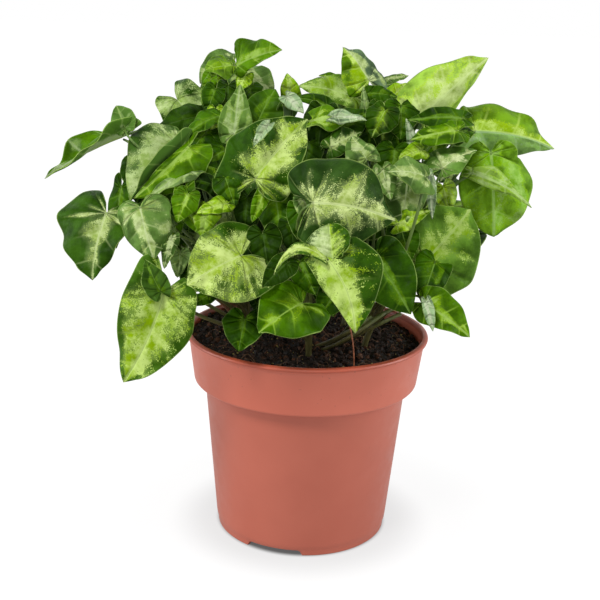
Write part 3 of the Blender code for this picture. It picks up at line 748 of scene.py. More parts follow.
# number, the petiole's end, the tip, where it faces; then width, fold, lobes, bend, twist and lean
SHOWN_LEAVES = (
    # left side
    Leaf(1, (-90, -5, 195), (-124, -18, 177), (100, 35), 0.6, (0, 75), 1.1, 0.06, 75, blunt=-0.04,
         look=replace(LEAFY, pale=(170, 188, 140), reach=0.2)),
    Leaf(2, (-61, -12, 192), (-83, -27, 169), (-98, 20), (0.75, 1.25), (100, 0), (1.0, 0.8), 0.05,
         look=replace(FEATHER, dark=(56, 90, 30), pale=(180, 200, 132), reach=(0.05, 0.68), fingers=0.3)),
    Leaf(3, (-94, -26, 163), (-99, -37, 134), (-105, 20), (0.85, 1.5), 8, (1.1, 1.5), 0.1,
         look=replace(STAR, reach=(0.22, 0.12), fingers=0.5, speckle=0.5)),
    Leaf(4, (-75, -49, 171), (-68, -56, 149), (-95, 20), 1.1, -25, 0.9, 0.1, look=GREY_SHEEN),
    Leaf(5, (-63, -62, 136), (-81, -64, 95), (-95, 12), 0.78, 10, (0.9, 1.2), 0.06, 0, -0.05,
         look=replace(LIME, dark=(54, 92, 14), reach=0.56)),
    Leaf(6, (-55, -30, 184), (-74, -35, 172), (-110, 60), 0.45, 10, 1.0, 0.06, look=SAGE),
    Leaf(7, (-45, -17, 184), (-58, -25, 184), (-110, 55), 1.0, 5, 1.0, 0.08, look=LEAFY),
    Leaf(8, (-55, -41, 176), (-59, -46, 164), (-100, 20), 0.9, 5, 1.0, 0.05, look=LEAFY),
    Leaf(9, (-46, -42, 170), (-48, -48, 158), (-100, 20), 0.9, 5, 1.0, 0.05,
         look=replace(BRIGHT_BACKLIT, dark=(86, 126, 12), pale=(156, 188, 80))),
    Leaf(10, (-58, -44, 150), (-59, -46, 139), (-100, 20), 0.8, 5, 1.0, 0.05, look=SAGE),
    # front
    Leaf(11, (-30, -62, 154), (-52, -72, 143), (-93, 26), (1.5, 1.35), 6, (2.2, 2.0), 0.1, look=CREAM),
    Leaf(12, (-25, -42, 184), (-3, -36, 210), (-105, 30), (1.3, 1.0), (10, 14), (2.2, 0.4), 0.08,
         look=replace(FEATHER, reach=(0.20, 0.55), fingers=0.4, speckle=1.3)),
    Leaf(13, (0, -66, 179), (36, -58, 171), (-88, 36), (1.25, 0.9), (8, -25), (1.2, 0.3), 0.1,
         look=replace(FEATHER, dark=(40, 70, 20), pale=(196, 212, 138), reach=(0.20, 0.34), fingers=0.42,
                      speckle=1.2)),
    Leaf(14, (4, -84, 162), (19, -94, 131), (-92, 16), (0.92, 0.45), (4, -16), (0.3, -0.4), 0.06, 0,
         -0.10, blunt=0.05, look=replace(LIME, reach=(0.40, 0.9), speckle=1.5)),
    Leaf(15, (-3, -60, 133), (-21, -76, 124), (-95, 36), (1.15, 1.3), 8, (1.6, 1.6), 0.08,
         look=replace(LEAFY, dark=(54, 96, 0), pale=(146, 184, 56))),
    Leaf(16, (-28, -58, 124), (-30, -66, 112), (-95, 25), 1.3, 8, (1.9, 1.5), 0.06, look=PLAIN),
    # right side
    Leaf(17, (29, -50, 152), (45, -58, 129), (-85, 20), 0.95, 8, look=PLAIN),
    Leaf(18, (53, -32, 147), (73, -24, 170), (-75, 25), (1.35, 1.5), 8, (1.4, 1.1), 0.08,
         look=replace(STAR, dark=(78, 118, 34), pale=(152, 180, 84), reach=0.26)),
    Leaf(19, (51, -50, 132), (72, -57, 119), (-75, 25), (0.85, 0.55), (5, -15), (0.8, 0.7), 0.1,
         look=LEAFY),
    Leaf(20, (85, 4, 192), (89, 0, 152), (-85, 10), (0.68, 0.52), -6, 0.6, 0.06, quilt=0.034, blunt=0.28,
         look=replace(BRIGHT_BACKLIT, dark=(100, 148, 28), pale=(150, 192, 84), reach=0.35)),
    Leaf(21, (75, -8, 184), (104, -10, 169), (-75, 50), (0.34, 0.2), (10, -40), 0.5, 0.1,
         look=replace(BRIGHT_BACKLIT, dark=(120, 158, 60), pale=(166, 196, 112))),
    Leaf(22, (59, -22, 188), (75, -16, 196), (-90, 60), (1.3, 0.7), 5, (2.0, 0.6), 0.08,
         look=replace(STAR, dark=(84, 124, 46), pale=(204, 218, 156), reach=0.22)),
    Leaf(23, (50, -34, 186), (33, -42, 189), (-92, 45), 1.05, (5, 8), 1.1, 0.1, look=GREY_SHEEN),
    Leaf(24, (24, -28, 192), (17, -18, 201), (-90, 40), (1.1, 0.9), 5, 1.0, 0.05, look=GREY_SHEEN),
    Leaf(25, (43, -28, 183), (41, -33, 163), (-90, 8), 0.95, 5, 1.0, 0.05, look=GREY_SHEEN),
    # painted light: its greens are painted lighter to make up for the shade it stands in among the leaves
    Leaf(26, (62, -6, 177), (66, -8, 165), (-90, 10), 0.9, 5, 1.0, 0.05,
         look=replace(BRIGHT_BACKLIT, dark=(150, 190, 80))),
    # top
    # painted light: its greens are painted lighter to make up for the shade on its right half, folded down
    # away from the light
    Leaf(27, (51, 4, 208), (82, 14, 236), (-85, 30), (0.78, 0.7), (0, -65), (0.6, 0.2), 0.05, quilt=0.03,
         look=replace(BRIGHT_BACKLIT, dark=(140, 182, 66), pale=(194, 216, 130), reach=0.6)),
    Leaf(28, (79, 20, 200), (122, 34, 191), (-80, 45), (0.76, 0.42), (5, -48), 0.7, 0.08, quilt=0.034,
         look=(replace(BRIGHT_BACKLIT, dark=(96, 140, 24), reach=0.15),
               replace(BRIGHT_BACKLIT, dark=(112, 152, 76), pale=(152, 186, 122), reach=0.3))),
    Leaf(29, (61, -6, 203), (76, -3, 202), (-80, 60), 1.2, 5, 1.5, 0.06, look=PLAIN),
    # painted light and sheen: its left half is painted in the bright green of light shining through it, its
    # right half in a painted grey sheen
    Leaf(30, (26, 20, 223), (13, 26, 238), (-80, 50), (1.1, 1.0), (-25, 0), (0.6, 2.2), 0.08, blunt=-0.04,
         look=(replace(BRIGHT_BACKLIT, dark=(80, 124, 6)), replace(GREY_SHEEN, dark=(86, 112, 78)))),
    Leaf(31, (33, -2, 211), (27, -8, 199), (-90, 40), 1.1, 5, 1.3, look=STREAK),
    Leaf(32, (19, 32, 214), (-8, 24, 219), (-95, 40), 0.6, 5, 0.9, 0.06,
         look=replace(LIME, dark=(90, 130, 34), pale=(190, 218, 120))),
    Leaf(33, (-1, -8, 206), (24, -4, 207), (-90, 60), 0.55, 5, 1.0, 0.06,
         look=replace(BRIGHT_BACKLIT, dark=(70, 112, 8), pale=(164, 196, 90))),
    Leaf(34, (-38, 16, 228), (-16, 6, 237), (-95, 35), (0.95, 0.4), (5, -20), (0.2, 0.3), 0.08,
         look=replace(LEAFY, pale=(136, 172, 62))),
    Leaf(35, (-42, 44, 226), (-55, 36, 224), (-100, 45), 1.3, 5, 1.2, 0.05,
         look=replace(LEAFY, dark=(88, 128, 26))),
    Leaf(36, (-35, 36, 223), (-20, 28, 214), (-80, 40), 1.1, 5, 1.2, 0.05, look=GREY_SHEEN),
    Leaf(37, (-67, 24, 210), (-51, 14, 193), (-100, 35), (1.1, 0.95), (8, 5), (1.8, 1.5), 0.08,
         look=replace(CREAM, pale=(182, 204, 132))),
    Leaf(38, (-53, 12, 204), (-75, 3, 198), (-100, 40), (0.55, 0.75), 5, 1.0, 0.08,
         look=replace(DEEP, dark=(34, 66, 2))),
    Leaf(39, (-44, 0, 206), (-60, -6, 197), (-105, 45), (0.45, 0.85), -5, 0.3, 0.1,
         look=replace(LEAFY, dark=(50, 92, 0), pale=(104, 146, 24))),
    Leaf(40, (-37, -10, 199), (-35, 1, 221), (-95, 30), 0.6, 5, 0.8, 0.03,
         look=replace(SAGE, dark=(80, 114, 44))),
    Leaf(41, (-27, 6, 202), (-19, 14, 218), (-90, 40), (1.3, 1.2), 5, 1.2, 0.08,
         look=replace(PLAIN, dark=(56, 96, 8))),
)
BACK_LOBES = 1.2
BACK_BEND = 0.1
BACK_LEAVES = tuple(
    replace(leaf, lobes=BACK_LOBES, bend=BACK_BEND)
    for leaf in (
        Leaf(42, (60, 48, 203), (86, 76, 178), (50, 50), look=FEATHER),
        Leaf(43, (18, 55, 216), (28, 94, 196), (85, 50), look=LIME),
        Leaf(44, (-26, 50, 208), (-40, 88, 184), (105, 45), look=STAR),
        Leaf(45, (-66, 38, 194), (-94, 62, 168), (145, 45), look=FEATHER),
        Leaf(46, (72, 30, 160), (97, 58, 146), (40, 40), look=LEAFY),
        Leaf(47, (42, 56, 160), (56, 92, 132), (65, 30), look=CREAM),
        Leaf(48, (-3, 60, 164), (-9, 93, 130), (95, 25), look=FEATHER),
        Leaf(49, (-46, 50, 158), (-72, 80, 132), (125, 30), look=LIME),
        Leaf(50, (-78, 24, 158), (-106, 40, 136), (155, 35), look=STAR),
        Leaf(51, (28, 56, 124), (38, 84, 100), (75, 30), 1.1, look=PLAIN),
        Leaf(52, (-32, 54, 128), (-48, 80, 102), (115, 30), 1.1, look=LEAFY),
    )
)


def halves(value):
    """A value for the left half and one for the right."""
    return value if isinstance(value, tuple) else (value, value)


def outline_at(along):
    """The outline's points at each share of the way from sinus to tip, on the Catmull-Rom curve
    0.5 (2 p1 + (p2 - p0) t + (2 p0 - 5 p1 + 4 p2 - p3) t^2 + (3 p1 - p0 - 3 p2 + p3) t^3)."""
    points = np.array(OUTLINE)
    points = np.concatenate([[2 * points[0] - points[1]], points, [2 * points[-1] - points[-2]]])
    steps = along * (len(OUTLINE) - 1)
    start = np.minimum(steps.astype(int), len(OUTLINE) - 2)
    t = (steps - start)[:, None]
    p0, p1, p2, p3 = (points[start + i] for i in range(4))
    square = 2 * p0 - 5 * p1 + 4 * p2 - p3
    cube = 3 * p1 - p0 - 3 * p2 + p3
    return 0.5 * (2 * p1 + (p2 - p0) * t + square * t**2 + cube * t**3)


def leaf_axes(leaf):
    """The blade's length and its unit vectors along the midrib, to the right, and up from the upper side."""
    along = Vector(leaf.tip) - Vector(leaf.at)
    length = along.length
    along.normalize()
    azimuth, elevation = map(radians, leaf.faces)
    up = Vector((cos(azimuth) * cos(elevation), sin(azimuth) * cos(elevation), sin(elevation)))
    up = (up - up.dot(along) * along).normalized()
    return length, along, along.cross(up), up


def blade_grid(leaf, share, across):
    """Points of the blade's middle surface, and their distance from the midrib in blade lengths.

    A row of constant share is a side vein, from the midrib out to the margin, so a point lies at
    x = reach across and y = midrib (1 - |across|) + climb |across|, where reach and climb are the
    outline's. Each half rises by its fold and droops with the square of x. The blade swells between
    its veins as the cosine of share and sinks along the midrib as a bell curve of x, the margin waves
    as the fourth power of across, and a few slow plane waves crumple all of it. Then it turns about
    the midrib by the twist, and the midrib bows as 4 y (1 - y). A blunt blade is fuller near its tip
    by the 0.7th power of half a sine wave, and two more sine waves make every outline a little uneven.
    """
    out, forward = outline_at(share).T
    fuller = leaf.blunt * np.sin(pi * np.clip((share - 0.5) * 2, 0, 1)) ** 0.7
    out = np.maximum(out + fuller, 0.3 * out)
    uneven = 0.045 * np.sin(10.5 * share + leaf.number) + 0.025 * np.sin(27 * share + 2 * leaf.number)
    out = out * (1 + uneven)
    left, right = (
        (out * width / OUTLINE_WIDTH, np.where(forward < 0, forward * lobe, forward))
        for width, lobe in zip(halves(leaf.width), halves(leaf.lobes))
    )
    across = across[None, :]
    reach = np.where(across < 0, left[0][:, None], right[0][:, None])
    climb = np.where(across < 0, left[1][:, None], right[1][:, None])
    midrib = np.maximum((left[1] + right[1] - VEIN_RISE * (left[0] + right[0])) / 2, 0)[:, None]
    x = reach * across
    y = midrib * (1 - abs(across)) + climb * abs(across)
    out_from_rib = abs(x)

    fold = np.radians(np.where(across < 0, *halves(leaf.fold)))
    z = out_from_rib * np.sin(fold) - CUP * x**2
    share = share[:, None]
    swell = (1 - np.cos(2 * pi * VEINS * share)) / 2
    swell = swell * abs(across) ** 0.5 * (1 - across**2) * np.clip(0.4 + 2 * share, 0, 1)
    z = z + leaf.quilt * swell * np.minimum(out_from_rib / 0.16, 1)
    furrow = np.exp(-((out_from_rib / 0.016) ** 2)) * np.clip(3 * y, 0, 1)
    z = z - 0.010 * furrow
    phase = leaf.number * 1.7 + np.where(across < 0, 0, 2.4)
    ripple = np.sin(2 * pi * 2.3 * share + phase) + 0.5 * np.sin(2 * pi * 5.3 * share + 2 * phase)
    z = z + leaf.wave * across**4 * ripple * np.minimum(out_from_rib / 0.2, 1)
    rng = np.random.default_rng(CRUMPLE_SEED + leaf.number)
    for _ in range(5):
        way, start = rng.uniform(-11, 11, 2), rng.uniform(0, 2 * pi)
        crease = np.sin(way[0] * x + way[1] * y + start) * np.minimum(out_from_rib / 0.1, 1)
        z = z + leaf.crumple * 0.6 * crease
    x = x * np.cos(fold)

    turn = radians(leaf.twist) * np.clip(y, -0.3, 1)
    x, z = x * np.cos(turn) - z * np.sin(turn), x * np.sin(turn) + z * np.cos(turn)
    bow = 4 * y * (1 - y)
    length, along, side, up = leaf_axes(leaf)
    parts = zip((y, x + leaf.lean * bow, z + leaf.bend * bow), (along, side, up))
    points = np.array(leaf.at) + length * sum(part[..., None] * np.array(axis) for part, axis in parts)
    return points, out_from_rib


def marking(leaf, look, share, across):
    """Where the blade is pale: above 0 in the marking, below 0 on the green ground.

    It is the marking's reach less the distance from the midrib, plus a tooth along each side vein of
    its own length, plus patches, which are a few slow waves over the blade. A marking that reaches
    far out goes a little further towards the tip.
    """
    rng = np.random.default_rng(MARKING_SEED + leaf.number)
    share, across = share[:, None], across[None, :]
    half = (across >= 0).astype(int)
    teeth = rng.uniform(0.2, 1.4, (2, VEINS + 2))
    vein = share * VEINS + rng.uniform(-0.15, 0.15)
    tooth = np.abs(vein - np.round(vein)) * 2
    own = teeth[half, np.round(vein).astype(int) % (VEINS + 2)]
    reach = np.where(across < 0, *halves(look.reach))
    field = reach - abs(across) + look.fingers * own * (1 - tooth) ** 1.6 - 0.3 * look.fingers
    for _ in range(6):
        way, phase = rng.uniform(2, 11, 2), rng.uniform(0, 2 * pi, 3)
        wave = np.sin(way[0] * share * 2 + phase[0]) * np.sin(way[1] * across + phase[1])
        field = field + look.patches * 0.5 * wave
    return field + 0.12 * np.clip(share - 0.3, 0, 1) * (reach > 0.1)


def from_nearest_vein(tree, share):
    """The distance from the nearest side vein, in gaps between two veins."""
    turn = sums(tree, "MULTIPLY", share, float(VEINS))
    return sums(tree, "ABSOLUTE", sums(tree, "SUBTRACT", turn, sums(tree, "ROUND", turn)))


def leaf_finish():
    """The upper side. Each blade carries its own two colours and numbers as attributes on its mesh."""
    material, tree, shader = new_finish("leaf", Specular_IOR_Level=0.06, IOR=1.45)
    place = in_object(tree)
    spot = kept_value(tree, "spot", "Vector")
    from_rib, share, across = part_of(tree, spot)
    field, speckle, soft = part_of(tree, kept_value(tree, "mark", "Vector"))
    vein_tone = kept_value(tree, "vein_tone", "Fac")
    dark = kept_value(tree, "dark", "Color")
    pale = kept_value(tree, "pale", "Color")
    out = sums(tree, "ABSOLUTE", across)
    beside = from_nearest_vein(tree, share)

    # the ground: clouded, a little lighter at the margin, and a paler green round the marking
    tone = stretched(tree, noise_at(tree, place, 85, 4, 0.6), 0.32, 0.68)
    ground = blended(tree, tone, shaded(tree, dark, 0.5, 1.05), shaded(tree, dark, 1.5, 1.0, 0.492))
    ground = blended(tree, stretched(tree, out, 0.7, 1.0, 0, 0.15), ground, shaded(tree, dark, 1.5))
    halo = blended(tree, 0.4, shaded(tree, dark, 1.35), pale)
    lumps = sums(tree, "SUBTRACT", noise_at(tree, place, 300, 3, 0.65), 0.5)
    around = sums(tree, "MULTIPLY_ADD", lumps, 0.5, field)
    ground = blended(tree, stretched(tree, around, -0.34, 0.06, 0, 0.65), ground, halo)

    # where it is pale: feathered along the side veins, with specks of one cell or two at the border
    combed = add_node(tree, "Mapping", {"Vector": spot, "Scale": (0, 34, 2.6)}).outputs[0]
    shift = add_node(tree, "VectorMath", {0: place, "Scale": 60.0}, operation="SCALE").outputs[0]
    combed = add_node(tree, "VectorMath", {0: combed, 1: shift}, operation="ADD").outputs[0]
    barbs = sums(tree, "SUBTRACT", noise_at(tree, combed, 1, 3, 0.6), 0.5)
    specks = sums(tree, "SUBTRACT", noise_at(tree, place, 1900, 2, 0.6), 0.5)
    broken = sums(tree, "MULTIPLY_ADD", barbs, 1.2, sums(tree, "MULTIPLY", lumps, 0.5))
    broken = sums(tree, "MULTIPLY_ADD", specks, 1.35, broken)
    edge = sums(tree, "MULTIPLY_ADD", broken, speckle, field)
    share_pale = stretched(tree, sums(tree, "DIVIDE", edge, soft), -0.9, 0.9)

    # the marking: clouded, greener halfway between two veins, and yellow-green at its border
    clouds = stretched(tree, noise_at(tree, place, 120, 5, 0.7), 0.38, 0.62)
    marked = blended(tree, clouds, shaded(tree, pale, 0.62, 1.35, 0.512), shaded(tree, pale, 1.06, 0.95))
    between = stretched(tree, beside, 0.12, 0.5, 0.0, 0.42)
    between = sums(tree, "MULTIPLY", between, stretched(tree, out, 0.1, 0.7))
    marked = blended(tree, between, marked, shaded(tree, halo, 1.1))
    border = shaded(tree, halo, 1.0, 1.2, 0.49)
    colour = blended(tree, stretched(tree, share_pale, 0, 0.5), ground, border)
    colour = blended(tree, stretched(tree, share_pale, 0.45, 1), colour, marked)

    # the veins: pale threads, and a pale rib with a fine dark line along its middle, painted shade in the
    # midrib's groove
    thread = stretched(tree, beside, 0.0, 0.07, 1.0, 0.0)
    thread = sums(tree, "MULTIPLY", thread, stretched(tree, from_rib, 0.42, 0.05, 0.0, 1.0))
    colour = blended(tree, sums(tree, "MULTIPLY", thread, vein_tone), colour, pale)
    rib = stretched(tree, from_rib, 0.008, 0.024, 0.8, 0.0)
    colour = blended(tree, rib, colour, shaded(tree, pale, 1.05, 0.9))
    # painted shade: a fine darker line in the groove along the midrib
    furrow = stretched(tree, from_rib, 0.001, 0.005, 0.3, 0.0)
    colour = blended(tree, furrow, colour, shaded(tree, dark, 1.2))
    # painted highlight: a thin pale rim along the margin, where light catches the blade's edge
    rim_highlight = stretched(tree, out, 0.972, 0.995, 0, 0.65)
    colour = blended(tree, rim_highlight, colour, shown(158, 186, 96))
    tree.links.new(colour, shader.inputs["Base Color"])

    gloss = stretched(tree, noise_at(tree, place, 120, 3), 0.3, 0.7, 0.34, 0.52)
    tree.links.new(gloss, shader.inputs["Roughness"])
    leather = bumped(tree, noise_at(tree, place, 900, 3, 0.6), 0.2, 0.14)
    leather = bumped(tree, noise_at(tree, place, 200, 4, 0.6), 0.8, 1.1, leather)
    sunk = bumped(tree, stretched(tree, beside, 0.0, 0.3), 0.9, 0.8, leather)
    tree.links.new(sunk, shader.inputs["Normal"])
    return material


def underside_finish():
    """The underside: the same markings, dimmer and greyer, with raised veins and no gloss."""
    material, tree, shader = new_finish("leaf underside", Specular_IOR_Level=0.15, Roughness=0.6)
    from_rib, share, _ = part_of(tree, kept_value(tree, "spot", "Vector"))
    field, _, _ = part_of(tree, kept_value(tree, "mark", "Vector"))
    lumps = sums(tree, "SUBTRACT", noise_at(tree, in_object(tree), 420, 3, 0.6), 0.5)
    field = sums(tree, "MULTIPLY_ADD", lumps, 0.5, field)
    green = blended(tree, 0.5, kept_value(tree, "dark", "Color"), shown(104, 146, 58))
    cream = blended(tree, 0.45, kept_value(tree, "pale", "Color"), shown(140, 172, 88))
    colour = blended(tree, stretched(tree, field, -0.12, 0.12), green, cream)
    beside = from_nearest_vein(tree, share)
    colour = blended(tree, stretched(tree, beside, 0.0, 0.07, 0.5, 0.0), colour, shown(150, 180, 96))
    colour = blended(tree, stretched(tree, from_rib, 0.010, 0.022, 0.8, 0.0), colour, shown(158, 186, 100))
    tree.links.new(colour, shader.inputs["Base Color"])
    tree.links.new(bumped(tree, stretched(tree, beside, 0.0, 0.12, 1, 0), 0.3, 0.3), shader.inputs["Normal"])
    return material


leaf_green = leaf_finish()
leaf_dull = underside_finish()


def make_blades(name, leaves, rows, columns):
    """One piece of one or more blades: each blade's grid of points, closer together near the midrib as
    the 1.15th power of across, and its numbers and colours as attributes. Solidify gives its
    thickness and shows the underside's finish on the inner shell."""
    share = np.linspace(0, 1, rows + 1)
    across = np.linspace(-1, 1, columns + 1)
    across = np.sign(across) * abs(across) ** 1.15
    on_left = np.broadcast_to(across[None, :, None] < 0, (rows + 1, columns + 1, 1))
    points, spot, mark, vein_tone, dark, pale = ([] for _ in range(6))
    for leaf in leaves:
        looks = halves(leaf.look)
        grid, from_rib = blade_grid(leaf, share, across)
        points.append(grid)
        spot.append(np.stack(np.broadcast_arrays(from_rib, share[:, None], across), axis=-1))
        kinds = ((marking(leaf, look, share, across), look.speckle, look.soft) for look in looks)
        marks = (np.stack(np.broadcast_arrays(*kind), axis=-1) for kind in kinds)
        mark.append(np.where(on_left, *marks))
        vein_tone.append(np.where(on_left, *(look.veins for look in looks)))
        dark.append(np.where(on_left, *(np.array([*shown(*look.dark), 1]) for look in looks)))
        pale.append(np.where(on_left, *(np.array([*shown(*look.pale), 1]) for look in looks)))
    blade_faces = grid_quads(rows + 1, columns + 1, False)
    faces = blade_faces[None] + on_left.size * np.arange(len(leaves))[:, None, None]
    blades = object_from(name, np.array(points), faces.reshape(-1, 4).tolist(), leaf_green)
    blades.data.materials.append(leaf_dull)
    keep_values(blades, "spot", "FLOAT_VECTOR", "vector", spot)
    keep_values(blades, "mark", "FLOAT_VECTOR", "vector", mark)
    keep_values(blades, "vein_tone", "FLOAT", "value", vein_tone)
    keep_values(blades, "dark", "FLOAT_COLOR", "color", dark)
    keep_values(blades, "pale", "FLOAT_COLOR", "color", pale)
    welded(blades, BLADE_WELD, closed=False)
    blades.data.shade_smooth()
    wall = blades.modifiers.new("Thickness", "SOLIDIFY")
    wall.thickness = BLADE_THICKNESS * MM
    wall.offset = 0
    wall.material_offset = 1
    wall.use_quality_normals = True
    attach(blades, "root")
    return blades


for leaf in SHOWN_LEAVES + BACK_LEAVES:
    blade = make_blades(f"blade_{leaf.number:02d}", [leaf], BLADE_ROWS, BLADE_COLUMNS)
    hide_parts(f"leaf_{leaf.number:02d}")

# ---------------------------------------------------------------- Young leaves
# Smaller and younger blades that are seen between the large ones, each on its own thin petiole from
# its stem's foot. Numbers 105, 110, 114 and 119 are lobes of leaves 14, 5 and 1 that curl back.

YOUNG_ROWS = 30
YOUNG_COLUMNS = 20
YOUNG_FOOT_Z = 104.0
PETIOLE_RADII = (0.85, 0.5)  # at the foot and at the blade
PETIOLE_START = (0.05, 0.42)  # how far out and up it sets off, in shares of its span
PETIOLE_ARRIVAL = 0.22  # how far before the blade it turns towards it
PETIOLE_STEPS = 14
PETIOLE_SIDES = 8

